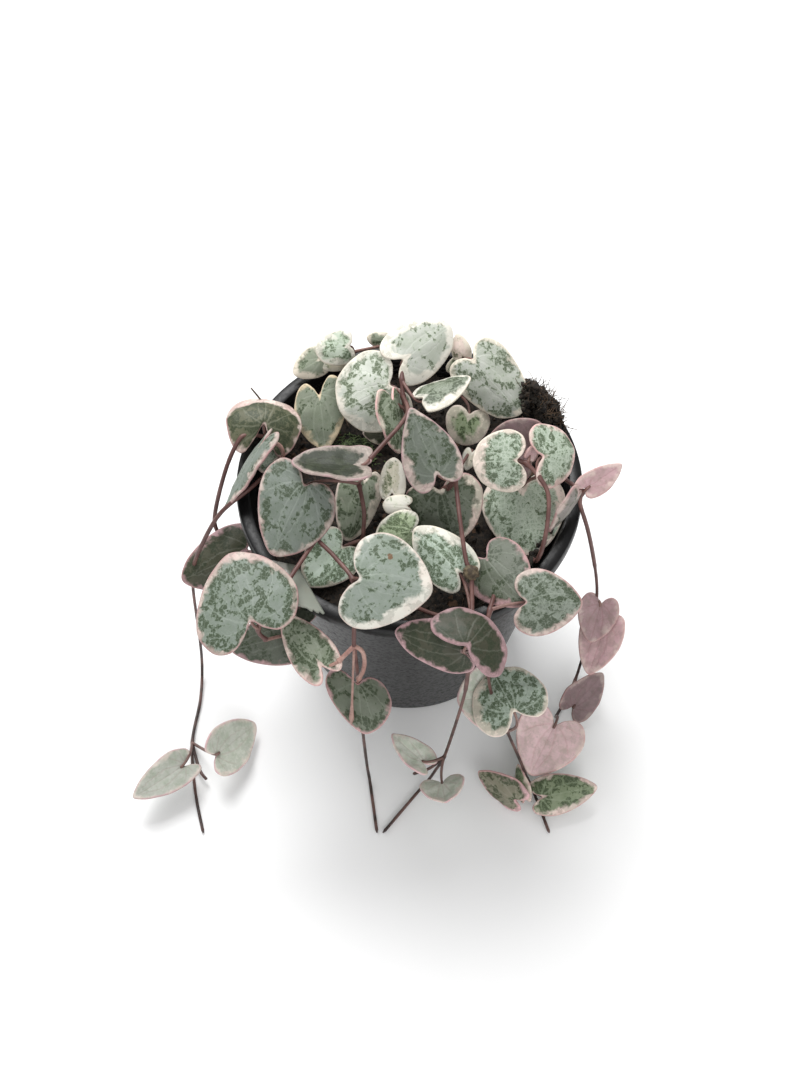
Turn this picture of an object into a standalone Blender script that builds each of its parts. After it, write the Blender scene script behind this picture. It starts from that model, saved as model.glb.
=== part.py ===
"""A variegated string of hearts in its 10 cm nursery pot, with strands that trail over the rim.

The plant was measured in a picture taken from in front and above. A place on it is written as
(column, row, height): the pixel where it shows in the 800 x 1065 picture, and how many millimetres
it is above the surface that the pot stands on. place() turns that into metres. Everything else is
a real size.
"""

import math
from collections import namedtuple

import bmesh
import bpy
from mathutils import Vector, noise

MM = 0.001

# The pot
POT_HEIGHT = 85 * MM
RIM_RADIUS = 50 * MM
BASE_RADIUS = 34 * MM
WALL = 1.2 * MM
FLOOR = 1.8 * MM
LIP_HEIGHT = 5 * MM
LIP_WIDTH = 2.8 * MM
POT_SIDES = 40
DRAIN_HOLES = 8
DRAIN_RADIUS = 3.5 * MM
DRAIN_RING = 23 * MM

# The soil
SOIL_TOP = 77 * MM
SOIL_GAP = 0.35 * MM
SOIL_BUMP = 1.2 * MM
SOIL_RINGS = 6
HEAP_PLACE = Vector((37 * MM, 24 * MM, 0))
HEAP_HEIGHT = 16.5 * MM
HEAP_SPREAD = 8.5 * MM
MOSS_PLACE = Vector((-16.5 * MM, 13.5 * MM, 0))
MOSS_HEIGHT = 3 * MM
MOSS_SPREAD = 4.5 * MM
HOLE_DEPTH = 7 * MM
HOLE_GAP = 0.45 * MM

# The stems and leaves
STEM_RADIUS = 0.75 * MM
TRAIL_RADIUS = 0.6 * MM
STALK_RADIUS = 0.55 * MM
STEM_SIDES = 5
STALK_SIDES = 4
STALK_STEPS = 4
BLADE_MIDDLE = 1.5 * MM
BLADE_EDGE = 0.65 * MM
TUBER_RADIUS = 2.2 * MM

# The picture that the plant was measured in
PICTURE_MIDDLE = (400, 532.5)
PICTURE_HEIGHT = 1065
VIEW_ELEVATION = math.radians(58.5)
VIEW_DISTANCE = 0.45
VIEW_AIM = Vector((-2.75 * MM, 0, 55 * MM))
LENS = 49.75
SENSOR = 36
FOCAL_PIXELS = LENS * PICTURE_HEIGHT / SENSOR

FORWARD = Vector((0, math.cos(VIEW_ELEVATION), -math.sin(VIEW_ELEVATION)))
UPWARD = Vector((0, math.sin(VIEW_ELEVATION), math.cos(VIEW_ELEVATION)))
RIGHTWARD = Vector((1, 0, 0))
EYE = VIEW_AIM - FORWARD * VIEW_DISTANCE

Leaf = namedtuple("Leaf", "at notch tip height wide lean roll fold dome curl ears blunt skew")


def leaf(at, notch, tip, height, wide, lean=0, roll=0, fold=8, dome=0.1, curl=0.12, ears=0.16, blunt=0.3, skew=0):
    """One leaf, on a stalk that leaves the stem at point `at` of its strand's routes.

    notch and tip are where the two ends of its midrib show, and height is the notch's, in mm. wide is
    the blade's width over its length. lean turns the tip towards the viewer, roll turns the blade about
    its midrib, with its underside in view at 180, and fold closes it along the midrib, in degrees. dome
    and curl bend its sides and its ends down. ears is how far its two lobes reach behind the notch,
    blunt is how round its tip is, and skew is how much further forward its left lobe is than its right,
    with the tip up.
    """
    return Leaf(at, notch, tip, height, wide, lean, roll, fold, dome, curl, ears, blunt, skew)


# Each route is the line of one stem, and a leaf's `at` is (route, point of it). A route that starts in
# the soil has its first point there. A bud is a small swelling on a stalk of its own.
STRANDS = {
    "strand_left": {
        "routes": [
            [(290, 470, 80), (285, 463, 87), (278.5, 462, 91), (252, 487, 92), (221, 512.5, 86),
             (202, 544.5, 73), (193, 570, 59), (193.5, 593, 46), (200, 640, 19), (202, 668, 4),
             (200, 700, 1.6), (192, 742, 1.6), (195, 790, 1.5), (203, 832, 1.4)],
            [(277, 448, 80), (267, 438, 88), (250, 435, 91), (239, 440, 91), (225, 472, 84),
             (214.5, 519, 68), (222, 538, 62)],
            [(192, 742, 1.6), (199, 768, 3), (206.5, 779, 3)],
            [(278.5, 462, 91), (283, 456, 93.5), (281, 447.5, 96), (275, 443, 97), (268, 442, 97)],
        ],
        "rooted": (0, 1),
        "leaves": [
            leaf((1, 1), (264, 423), (268, 388), 94, 1.5, lean=-45, fold=3, dome=0.25, curl=0.8, ears=0.4,
                 blunt=0.8),
            leaf((3, 4), (263, 441), (221, 508), 97, 0.56, roll=-74, ears=0.19),
            leaf((0, 1), (279, 459), (256, 466), 84, 1.2, blunt=0.6),
            leaf((1, 6), (250, 548), (183, 580), 64, 0.8, blunt=0.5),
            leaf((0, 11), (214, 756), (254, 724), 11, 0.8, lean=-35, roll=160, fold=14),
            leaf((0, 11), (186, 765), (136, 798), 7, 0.62, lean=15, roll=160),
        ],
        "buds": [],
    },
    "strand_front_left": {
        "routes": [
            [(321, 517, 80), (320, 526, 85.2), (317, 538, 88.6), (334, 556, 92), (353, 580, 94),
             (355, 605, 92.5), (354, 632, 88.8), (354, 646, 82), (356, 662, 73), (359, 690, 56),
             (363, 733, 31), (367, 765, 10), (370, 782, 1.8), (377, 832, 1.4)],
            [(317, 538, 88.6), (290, 578, 91.2), (274, 604, 88.6), (258, 628, 84), (266, 640, 78)],
            [(354, 646, 82), (362, 651, 79.5), (364.5, 661, 75), (363, 671, 70.5), (358.5, 679, 67)],
            [(354, 646, 82), (347, 653, 81.5), (338, 662, 80)],
        ],
        "rooted": (0,),
        "leaves": [
            leaf((0, 4), (356.6, 577.8), (432, 592), 101, 1.28, ears=0.12, blunt=0.3, skew=0.07),
            leaf((1, 3), (251.6, 623.7), (228, 552), 92, 1.38, lean=-15, ears=0.2, blunt=0.4, skew=-0.1),
            leaf((1, 4), (300, 632), (232, 650), 74, 0.8, ears=0.3),
            leaf((3, 2), (323, 668), (282, 614), 78, 0.66, lean=-10),
            leaf((2, 4), (357, 682), (364, 733), 66, 1.2, skew=0.24),
        ],
        "buds": [((0, 7), (352, 704), 66, 1.0)],
    },
    "strand_front": {
        "routes": [
            [(441, 503, 80), (444, 496, 88), (450, 486, 95), (455, 481, 98.5), (460, 520, 97),
             (466, 560, 94), (471, 573, 93), (472, 600, 91), (471.5, 620, 90), (471, 636, 88),
             (470, 650, 84), (467, 680, 66), (463, 700, 54), (452, 735, 31), (444, 757, 17),
             (437, 768, 9), (428, 780, 3), (418, 791, 1.8), (383, 832, 1.4)],
            [(414, 606, 82), (430, 613, 85.5), (450, 618, 88.5), (471.5, 620, 90)],
            [(444, 757, 17), (430, 768, 12), (413, 774, 9)],
        ],
        "rooted": (0,),
        "leaves": [
            leaf((0, 3), (438, 477), (410, 407), 103, 0.76, lean=-10, fold=12, ears=0.12, blunt=0),
            leaf((0, 2), (440, 488), (455, 543), 93, 1.4, blunt=0.5),
            leaf((0, 8), (460.5, 574), (415, 528), 90, 0.8, blunt=0.5),
            leaf((0, 10), (466, 647), (491, 616), 94, 1.9, lean=-30, dome=0.2, curl=0.3, ears=0.12, blunt=0.9),
            leaf((0, 10), (466, 652), (395, 632), 87.5, 0.72, roll=15, blunt=0.5),
            leaf((0, 1), (472, 452), (466, 470), 86, 0.8),
            leaf((0, 14), (425, 765), (391, 736), 16, 0.75, roll=145),
            leaf((0, 14), (442, 783), (446, 803), 10, 1.4, lean=50, roll=180),
        ],
        "buds": [],
    },
    "strand_front_right": {
        "routes": [
            [(497, 582, 80), (495, 592, 87), (490, 610, 89.5), (486, 630, 87.4), (487, 645, 83),
             (487.5, 668, 66), (492, 695, 48), (507, 731, 30), (519, 758, 15), (526, 775, 7),
             (530.4, 784, 3), (536, 797, 1.8), (549.5, 832, 1.4)],
        ],
        "rooted": (0,),
        "leaves": [
            leaf((0, 1), (484, 556), (524, 602), 89.5, 0.93, lean=30),
            leaf((0, 2), (523.8, 602), (581.8, 603.3), 93, 1.15),
            leaf((0, 6), (489, 697), (457, 700), 43, 1.85, lean=20, roll=180),
            leaf((0, 7), (514.6, 712.7), (492, 670), 50, 1.5, lean=-20, ears=0.25, blunt=0.9),
            leaf((0, 10), (517, 801), (478, 773), 6, 0.75, roll=40),
            leaf((0, 10), (524, 797), (517, 765), 5, 0.6, roll=50),
            leaf((0, 10), (540, 797), (596.7, 787), 7, 0.7),
        ],
        "buds": [],
    },
    "strand_right": {
        "routes": [
            [(552, 474, 80), (556, 474, 87), (562, 477, 91), (569, 482, 93), (576, 487, 93.5),
             (582, 492, 92.5), (580, 503, 90), (587.6, 529, 80), (593, 555, 66), (596.5, 580, 52),
             (596.5, 600, 41), (592, 622, 29), (587.6, 639, 19), (581, 662, 6), (575, 680, 2),
             (566, 698, 1.5), (556, 716, 1.5)],
        ],
        "rooted": (0,),
        "leaves": [
            leaf((0, 5), (585, 489), (620, 464), 94, 0.6, lean=-20, roll=165, ears=0.12, skew=0.1),
            leaf((0, 4), (578, 495), (551, 533), 94, 0.75, roll=72),
            leaf((0, 10), (601, 602), (590, 642), 42, 0.95, roll=180),
            leaf((0, 10), (607, 621), (589, 674), 38, 0.8, roll=165),
            leaf((0, 14), (571, 708), (602, 673), 5, 0.85, roll=150),
            leaf((0, 16), (556, 723), (529.5, 774), 10, 1.15, lean=12, roll=180),
        ],
        "buds": [],
    },
    "shoot_left": {
        "routes": [
            [(364, 550, 80), (363, 540, 84), (363.5, 530, 88), (364, 511, 92), (359, 484, 94)],
        ],
        "rooted": (0,),
        "leaves": [
            leaf((0, 4), (305.8, 482), (272, 553), 100, 1.02, lean=10, ears=0.13, blunt=0.35, skew=0.1),
            leaf((0, 4), (365, 478), (348, 540), 88, 0.72, lean=12, roll=20, blunt=0.5),
            leaf((0, 1), (344, 545), (305, 584), 83.6, 0.95, lean=16),
        ],
        "buds": [],
    },
    "shoot_back": {
        "routes": [
            [(410, 432, 80), (409, 424, 86), (406, 410, 91), (403, 396, 94), (402, 380, 96), (402, 368, 97)],
            [(403, 396, 94), (408, 410, 98), (401, 424, 100), (385, 442, 101), (369, 460, 101)],
        ],
        "rooted": (0,),
        "leaves": [
            leaf((0, 5), (401, 361), (452, 325), 99, 0.9, lean=-20, blunt=0.8),
            leaf((0, 3), (392, 384), (340, 411), 95, 1.4, blunt=0.9),
            leaf((0, 2), (392, 397), (402, 453), 96, 0.85, roll=58, blunt=0.6),
            leaf((1, 4), (370, 467), (292, 465), 101, 0.66, roll=131, ears=0.02, blunt=0.7),
            leaf((0, 4), (421, 399), (470, 375), 98.5, 0.8, lean=-15, roll=52, ears=0.04),
        ],
        "buds": [],
    },
    "shoot_back_left": {
        "routes": [
            [(352, 392, 80), (352, 382, 86), (353, 366, 90), (353, 352, 92)],
        ],
        "rooted": (0,),
        "leaves": [
            leaf((0, 2), (322, 358), (294, 374), 91, 0.95, blunt=0.5),
            leaf((0, 3), (351, 346), (316, 352), 96, 0.97, ears=0.06, blunt=0.9),
            leaf((0, 3), (348, 357), (322, 367), 91, 0.75, blunt=0.6),
            leaf((0, 3), (388, 342), (367, 337), 90, 0.8, blunt=0.6),
            leaf((0, 0), (319, 393), (325.6, 449), 90, 0.93, lean=6, ears=0.24, skew=-0.1),
            leaf((0, 0), (386, 436), (363, 433), 81, 0.8),
        ],
        "buds": [],
    },
    "shoot_back_right": {
        "routes": [
            [(452, 392, 80), (455, 385, 86), (462, 372, 91), (465, 360, 94)],
        ],
        "rooted": (0,),
        "leaves": [
            leaf((0, 3), (471, 357), (521, 413), 99, 0.82, lean=5, ears=0.1, blunt=0.85),
            leaf((0, 3), (463, 357), (457, 334), 93, 0.8),
            leaf((0, 2), (461, 362), (447, 371), 91, 0.9, blunt=0.8),
            leaf((0, 0), (469.5, 413), (463, 445), 88, 1.33, blunt=0.8),
        ],
        "buds": [],
    },
    "shoot_right": {
        "routes": [
            [(531, 556, 80), (536, 561, 85), (543, 546, 91), (548, 519, 95), (548, 493.6, 98),
             (539, 477, 100), (527, 464, 101), (518, 461, 101)],
        ],
        "rooted": (0,),
        "leaves": [
            leaf((0, 7), (518.6, 460.5), (473, 462), 103, 1.36, blunt=0.8),
            leaf((0, 6), (531, 456), (490, 436), 96, 1.45, roll=175, blunt=0.6),
            leaf((0, 5), (541.6, 456.7), (576, 450), 103.5, 1.42, lean=-40, blunt=0.8),
            leaf((0, 6), (528, 457), (536, 444), 101, 0.9, roll=150, fold=30),
            leaf((0, 5), (521, 486), (531, 554), 88.4, 1.17, lean=12, blunt=0.5),
        ],
        "buds": [],
    },
    "shoot_middle": {
        "routes": [
            [(418, 545, 80), (416, 538, 85), (413, 528, 88), (408, 514, 90), (400, 498, 91)],
        ],
        "rooted": (0,),
        "leaves": [
            leaf((0, 2), (414, 531), (376, 536), 90, 1.15, blunt=0.6),
            leaf((0, 3), (408, 506), (383, 505), 91, 0.85, blunt=1),
            leaf((0, 4), (392, 494), (394, 458), 92, 0.72, blunt=0.8),
        ],
        "buds": [],
    },
}
TUBER_AT = ("strand_front", 0, 6)

# The two top and two bottom corners of the plant label, as places
LABEL_CORNERS = [(268, 560, 88.4), (299, 607, 88.2), (326, 616, 86.6), (297, 566, 84.6)]
LABEL_THICKNESS = 0.8 * MM

COLOURS = {
    "pot": (0.02, 0.02, 0.022),
    "soil": (0.035, 0.025, 0.018),
    "plant_label": (0.75, 0.77, 0.78),
    "leaf": (0.36, 0.46, 0.38),
}


def place(column, row, height):
    """The point that shows at a pixel of the picture, at a height in mm."""
    right = (column - PICTURE_MIDDLE[0]) / FOCAL_PIXELS
    up = (PICTURE_MIDDLE[1] - row) / FOCAL_PIXELS
    ray = FORWARD + RIGHTWARD * right + UPWARD * up
    return EYE + ray * ((height * MM - EYE.z) / ray.z)


def smooth(points, steps):
    """The points of a Catmull-Rom curve through the given ones."""
    curve = []
    last = len(points) - 1
    for i in range(last):
        before = points[max(i - 1, 0)]
        start = points[i]
        end = points[i + 1]
        after = points[min(i + 2, last)]
        for step in range(steps):
            t = step / steps
            pull = (end - before) * t + (before * 2 - start * 5 + end * 4 - after) * t ** 2
            curve.append(start + (pull + (start * 3 - before - end * 3 + after) * t ** 3) / 2)
    return curve + [points[last]]


def new_object(name, corners, faces):
    mesh = bpy.data.meshes.new(name)
    mesh.from_pydata([tuple(corner) for corner in corners], [], faces)
    made = bpy.data.objects.new(name, mesh)
    bpy.context.scene.collection.objects.link(made)
    return made


def face_outward(made):
    shape = bmesh.new()
    shape.from_mesh(made.data)
    bmesh.ops.recalc_face_normals(shape, faces=shape.faces)
    shape.to_mesh(made.data)
    shape.free()
    return made


def tube(name, line, radii, sides):
    """A closed tube along a line, with a radius at each of its points."""
    corners = []
    faces = []
    across = None
    for i, point in enumerate(line):
        along = (line[min(i + 1, len(line) - 1)] - line[max(i - 1, 0)]).normalized()
        if across is None:
            across = along.orthogonal()
        across = (across - along * across.dot(along)).normalized()
        other = along.cross(across)
        for side in range(sides):
            angle = math.tau * side / sides
            corners.append(point + (across * math.cos(angle) + other * math.sin(angle)) * radii[i])
        if i:
            for side in range(sides):
                after = (side + 1) % sides
                low = (i - 1) * sides
                high = i * sides
                faces.append((low + side, low + after, high + after, high + side))
    faces.append(tuple(reversed(range(sides))))
    faces.append(tuple(range(len(corners) - sides, len(corners))))
    return new_object(name, corners, faces)


def route_line(route, rooted, steps):
    """A stem's line, which goes straight down into its hole where it's rooted."""
    points = [place(*point) for point in route]
    line = smooth(points, steps)
    if rooted:
        foot = points[0].copy()
        foot.z = SOIL_TOP - HOLE_DEPTH + HOLE_GAP
        line = [foot] + line
    return line


def leaf_frame(one):
    """(origin, along, across, normal, length) of a leaf. The normal is its upper face's."""
    origin = place(*one.notch, one.height)
    toward = (EYE - origin).normalized()
    right = (RIGHTWARD - toward * RIGHTWARD.dot(toward)).normalized()
    up = toward.cross(right)
    reach = (origin - EYE).dot(FORWARD) / FOCAL_PIXELS
    shown = right * (one.tip[0] - one.notch[0]) - up * (one.tip[1] - one.notch[1])
    lean = math.radians(one.lean)
    along = shown.normalized() * math.cos(lean) + toward * math.sin(lean)
    facing = (toward - along * toward.dot(along)).normalized()
    side = facing.cross(along)
    roll = math.radians(one.roll)
    normal = facing * math.cos(roll) + side * math.sin(roll)
    return origin, along, normal.cross(along), normal, shown.length * reach / math.cos(lean)


def outline(one):
    """The blade's edge as (share of length, share of half width), from the notch round by the tip."""
    ears = one.ears
    blunt = one.blunt
    half = [
        (-0.5 * ears, 0.2),
        (-ears, 0.48),
        (-0.6 * ears, 0.8),
        (0.14, 1),
        (0.4, 0.94 + 0.04 * blunt),
        (0.66, 0.66 + 0.2 * blunt),
        (0.87, 0.3 + 0.32 * blunt),
    ]
    left = [(t, -s) for t, s in reversed(half)]
    return [(0.04, 0)] + half + [(1, 0)] + left


def blade_height(one, length, t, s):
    """How far the blade's middle surface is above its flat plane, in metres."""
    half = one.wide * length / 2
    fold = math.tan(math.radians(one.fold)) * (math.hypot(s * half, 0.5 * MM) - 0.5 * MM)
    sides = one.dome * half * s * s
    ends = one.curl * length * (t - 0.35) ** 2
    wave = 0.02 * length * s * s * math.sin(9 * t + one.notch[0])
    return wave - fold - sides - ends


def blade_point(one, frame, t, s):
    origin, along, across, normal, length = frame
    half = one.wide * length / 2
    forward = along * ((t + one.skew * s) * length)
    return origin + forward + across * (s * half) + normal * blade_height(one, length, t, s)


def blade(one, name):
    """A closed blade, whose two faces are the same triangles."""
    frame = leaf_frame(one)
    edge = outline(one)
    middle = (0.3, 0)
    ring = [(middle[0] + (t - middle[0]) * 0.55, s * 0.55) for t, s in edge[::2]]
    flat = edge + ring + [middle]
    surface = [blade_point(one, frame, t, s) for t, s in flat]
    rim = len(edge)
    inner = len(ring)
    centre = rim + inner
    sheet = []
    for i in range(inner):
        here = rim + i
        after = rim + (i + 1) % inner
        first = 2 * i
        second = 2 * i + 1
        third = (2 * i + 2) % rim
        sheet += [(here, first, second), (here, second, after), (after, second, third), (here, after, centre)]
    normals = [Vector((0, 0, 0)) for _ in surface]
    for a, b, c in sheet:
        turned = (surface[b] - surface[a]).cross(surface[c] - surface[a])
        for corner in (a, b, c):
            normals[corner] += turned
    thick = [BLADE_EDGE] * rim + [BLADE_MIDDLE * 0.85] * inner + [BLADE_MIDDLE]
    shift = [normals[i].normalized() * (thick[i] / 2) for i in range(len(flat))]
    upper = [surface[i] + shift[i] for i in range(len(flat))]
    lower = [surface[i] - shift[i] for i in range(len(flat))]
    count = len(flat)
    faces = list(sheet)
    faces += [(c + count, b + count, a + count) for a, b, c in sheet]
    for i in range(rim):
        after = (i + 1) % rim
        faces.append((after, i, i + count, after + count))
    return face_outward(new_object(name, upper + lower, faces))


def stalk_line(start, one, steps):
    """The line of a leaf's stalk, which comes up to the blade from behind and below."""
    frame = leaf_frame(one)
    origin, along, across, normal, length = frame
    end = blade_point(one, frame, 0.12, 0) - normal * (0.2 * MM)
    pull = 0.3 * (end - start).length + 1 * MM
    arrive = end - along * pull * 0.8 - normal * pull * 0.7
    leave = start + (arrive - start) * 0.25 + Vector((0, 0, 0.1 * pull))
    line = []
    for step in range(steps + 1):
        t = step / steps
        u = 1 - t
        line.append(start * u ** 3 + leave * (3 * u * u * t) + arrive * (3 * u * t * t) + end * t ** 3)
    return line


def ball(name, middle, radius, squash=1.0):
    shape = bmesh.new()
    bmesh.ops.create_icosphere(shape, subdivisions=1, radius=radius)
    for corner in shape.verts:
        corner.co = middle + Vector((corner.co.x, corner.co.y, corner.co.z * squash))
    mesh = bpy.data.meshes.new(name)
    shape.to_mesh(mesh)
    shape.free()
    made = bpy.data.objects.new(name, mesh)
    bpy.context.scene.collection.objects.link(made)
    return made


def strand_pieces(name, strand):
    """The closed pieces that one strand is fused from."""
    pieces = []
    for i, route in enumerate(strand["routes"]):
        rooted = i in strand["rooted"]
        line = route_line(route, rooted, 2)
        radii = [STEM_RADIUS if point.z > 60 * MM else TRAIL_RADIUS for point in line]
        if not rooted:
            radii = [TRAIL_RADIUS] * len(line)
        radii[-1] *= 0.6
        pieces.append(tube(f"{name}_stem_{i}", line, radii, STEM_SIDES))
    for i, one in enumerate(strand["leaves"]):
        route, point = one.at
        start = place(*strand["routes"][route][point])
        pieces.append(blade(one, f"{name}_blade_{i}"))
        line = stalk_line(start, one, STALK_STEPS)
        radii = [STALK_RADIUS] * len(line)
        radii[-1] *= 0.7
        pieces.append(tube(f"{name}_stalk_{i}", line, radii, STALK_SIDES))
    for i, (at, tip, height, radius) in enumerate(strand["buds"]):
        start = place(*strand["routes"][at[0]][at[1]])
        end = place(*tip, height)
        pieces.append(tube(f"{name}_bud_stalk_{i}", [start, (start + end) / 2, end], [0.5 * MM] * 3, STALK_SIDES))
        pieces.append(ball(f"{name}_bud_{i}", end, radius * MM, 1.4))
    if TUBER_AT[0] == name:
        knot = place(*strand["routes"][TUBER_AT[1]][TUBER_AT[2]])
        pieces.append(ball(f"{name}_tuber", knot, TUBER_RADIUS, 0.9))
    return pieces


def combine(base, others, operation, name):
    """The base joined with, or cut by, all the others, as one object with the given name."""
    group = bpy.data.collections.new(name + "_group")
    for other in others:
        bpy.context.scene.collection.objects.unlink(other)
        group.objects.link(other)
    bpy.context.scene.collection.children.link(group)
    step = base.modifiers.new("combine", "BOOLEAN")
    step.operation = operation
    step.operand_type = "COLLECTION"
    step.collection = group
    step.solver = "EXACT"
    bpy.context.view_layer.update()
    graph = bpy.context.evaluated_depsgraph_get()
    mesh = bpy.data.meshes.new_from_object(base.evaluated_get(graph))
    made = bpy.data.objects.new(name, mesh)
    bpy.context.scene.collection.objects.link(made)
    for other in [base] + list(others):
        bpy.data.objects.remove(other)
    bpy.data.collections.remove(group)
    made.name = name
    return made


def lathe(name, profile, sides):
    """A closed solid of revolution. The profile is (radius, height) pairs and may touch the axis."""
    corners = []
    rings = []
    for radius, height in profile:
        if radius < 1e-7:
            rings.append([len(corners)] * sides)
            corners.append((0, 0, height))
            continue
        rings.append([len(corners) + side for side in range(sides)])
        for side in range(sides):
            angle = math.tau * side / sides
            corners.append((radius * math.cos(angle), radius * math.sin(angle), height))
    faces = []
    for low, high in zip(rings, rings[1:]):
        for side in range(sides):
            after = (side + 1) % sides
            face = []
            for corner in (low[side], low[after], high[after], high[side]):
                if corner not in face:
                    face.append(corner)
            faces.append(tuple(face))
    return face_outward(new_object(name, corners, faces))


def wall_radius(height):
    """The pot wall's outer radius at a height."""
    top = RIM_RADIUS - LIP_WIDTH
    return BASE_RADIUS + (top - BASE_RADIUS) * height / POT_HEIGHT


def make_pot():
    lip = POT_HEIGHT - LIP_HEIGHT
    inside = RIM_RADIUS - LIP_WIDTH - WALL
    profile = [
        (0, 0),
        (BASE_RADIUS - 1.5 * MM, 0),
        (BASE_RADIUS, 1.5 * MM),
        (wall_radius(lip), lip),
        (RIM_RADIUS - 0.6 * MM, lip + 0.4 * MM),
        (RIM_RADIUS, lip + 1.2 * MM),
        (RIM_RADIUS, POT_HEIGHT - 0.8 * MM),
        (RIM_RADIUS - 0.7 * MM, POT_HEIGHT),
        (inside + 0.7 * MM, POT_HEIGHT),
        (inside, POT_HEIGHT - 0.8 * MM),
        (wall_radius(lip) - WALL, lip),
        (BASE_RADIUS - WALL, FLOOR + 1 * MM),
        (BASE_RADIUS - WALL - 1 * MM, FLOOR),
        (0, FLOOR),
    ]
    pot = lathe("pot_wall", profile, POT_SIDES)
    cutters = []
    for i in range(DRAIN_HOLES):
        angle = math.tau * (i + 0.5) / DRAIN_HOLES
        middle = Vector((DRAIN_RING * math.cos(angle), DRAIN_RING * math.sin(angle), 0))
        line = [middle - Vector((0, 0, 3 * MM)), middle + Vector((0, 0, 5 * MM))]
        cutters.append(tube(f"drain_{i}", line, [DRAIN_RADIUS] * 2, 10))
    return combine(pot, cutters, "DIFFERENCE", "pot")


def soil_height(x, y):
    """The height of the soil's top, with its lumps, its mossy hump and the heap by the rim."""
    here = Vector((x, y, 0))
    lumps = noise.noise(here * 160) + 0.5 * noise.noise(here * 400)
    heap = HEAP_HEIGHT * math.exp(-((here - HEAP_PLACE).length / HEAP_SPREAD) ** 2)
    moss = MOSS_HEIGHT * math.exp(-((here - MOSS_PLACE).length / MOSS_SPREAD) ** 2)
    return SOIL_TOP + SOIL_BUMP * lumps + heap + moss


def make_soil():
    corners = []
    faces = []
    apothem = math.cos(math.pi / POT_SIDES)
    top = (wall_radius(SOIL_TOP) - WALL) * apothem - SOIL_GAP
    bottom = (BASE_RADIUS - WALL - 1 * MM) * apothem - SOIL_GAP
    for ring in range(SOIL_RINGS):
        radius = top * (ring + 1) / SOIL_RINGS
        for side in range(POT_SIDES):
            angle = math.tau * side / POT_SIDES
            x = radius * math.cos(angle)
            y = radius * math.sin(angle)
            corners.append((x, y, soil_height(x, y)))
    base = len(corners)
    for side in range(POT_SIDES):
        angle = math.tau * side / POT_SIDES
        corners.append((bottom * math.cos(angle), bottom * math.sin(angle), FLOOR + SOIL_GAP + 1 * MM))
    corners.append((0, 0, soil_height(0, 0)))
    corners.append((0, 0, FLOOR + SOIL_GAP))
    for side in range(POT_SIDES):
        after = (side + 1) % POT_SIDES
        faces.append((base + POT_SIDES, side, after))
        faces.append((base + POT_SIDES + 1, base + after, base + side))
        for ring in range(SOIL_RINGS):
            low = ring * POT_SIDES
            high = low + POT_SIDES
            faces.append((low + side, high + side, high + after, low + after))
    soil = face_outward(new_object("soil_plug", corners, faces))
    shape = bmesh.new()
    shape.from_mesh(soil.data)
    bmesh.ops.triangulate(shape, faces=shape.faces)
    shape.to_mesh(soil.data)
    shape.free()
    cutters = []
    for name, strand in STRANDS.items():
        for i in strand["rooted"]:
            foot = place(*strand["routes"][i][0])
            low = Vector((foot.x, foot.y, SOIL_TOP - HOLE_DEPTH))
            high = Vector((foot.x, foot.y, SOIL_TOP + 20 * MM))
            cutters.append(tube(f"hole_{name}_{i}", [low, high], [STEM_RADIUS + HOLE_GAP] * 2, 8))
    return combine(soil, cutters, "DIFFERENCE", "soil")


def make_label():
    corners = [place(*corner) for corner in LABEL_CORNERS]
    normal = (corners[1] - corners[0]).cross(corners[3] - corners[0]).normalized() * (LABEL_THICKNESS / 2)
    both = [corner + normal for corner in corners] + [corner - normal for corner in corners]
    faces = [(0, 1, 2), (0, 2, 3), (6, 5, 4), (7, 6, 4)]
    for i in range(4):
        after = (i + 1) % 4
        faces.append((after, i, i + 4, after + 4))
    return face_outward(new_object("plant_label", both, faces))


def paint(made, name, roughness):
    material = bpy.data.materials.new(name)
    material.use_nodes = True
    shader = material.node_tree.nodes["Principled BSDF"]
    shader.inputs["Base Color"].default_value = (*COLOURS[name], 1)
    shader.inputs["Roughness"].default_value = roughness
    made.data.materials.clear()
    made.data.materials.append(material)


def main():
    for old in list(bpy.data.objects):
        bpy.data.objects.remove(old)
    paint(make_pot(), "pot", 0.3)
    paint(make_soil(), "soil", 0.95)
    paint(make_label(), "plant_label", 0.5)
    for name, strand in STRANDS.items():
        pieces = strand_pieces(name, strand)
        paint(combine(pieces[0], pieces[1:], "UNION", name), "leaf", 0.5)


main()
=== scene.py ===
"""The looks of a variegated string of hearts in its nursery pot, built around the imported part.

The plant's measures are the same as in the part's own source. A place on it is written as
(column, row, height): the pixel where it shows in the 800 x 1065 picture, and how many millimetres
it is above the floor. place() turns that into metres.
"""

import math
import random
from collections import namedtuple

import bmesh
import bpy
from mathutils import Matrix, Vector, noise


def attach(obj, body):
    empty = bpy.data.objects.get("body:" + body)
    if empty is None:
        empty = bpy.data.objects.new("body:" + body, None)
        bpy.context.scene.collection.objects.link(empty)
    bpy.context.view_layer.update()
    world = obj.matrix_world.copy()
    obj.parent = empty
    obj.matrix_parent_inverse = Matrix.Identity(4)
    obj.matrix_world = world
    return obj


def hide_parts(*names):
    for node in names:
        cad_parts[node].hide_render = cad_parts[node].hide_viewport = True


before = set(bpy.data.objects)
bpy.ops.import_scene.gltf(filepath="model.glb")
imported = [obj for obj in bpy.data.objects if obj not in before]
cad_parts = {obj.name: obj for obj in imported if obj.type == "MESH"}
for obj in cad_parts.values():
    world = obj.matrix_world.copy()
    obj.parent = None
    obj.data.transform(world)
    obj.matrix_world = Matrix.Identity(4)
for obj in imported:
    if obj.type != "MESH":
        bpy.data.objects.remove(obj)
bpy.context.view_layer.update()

MM = 0.001

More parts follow.
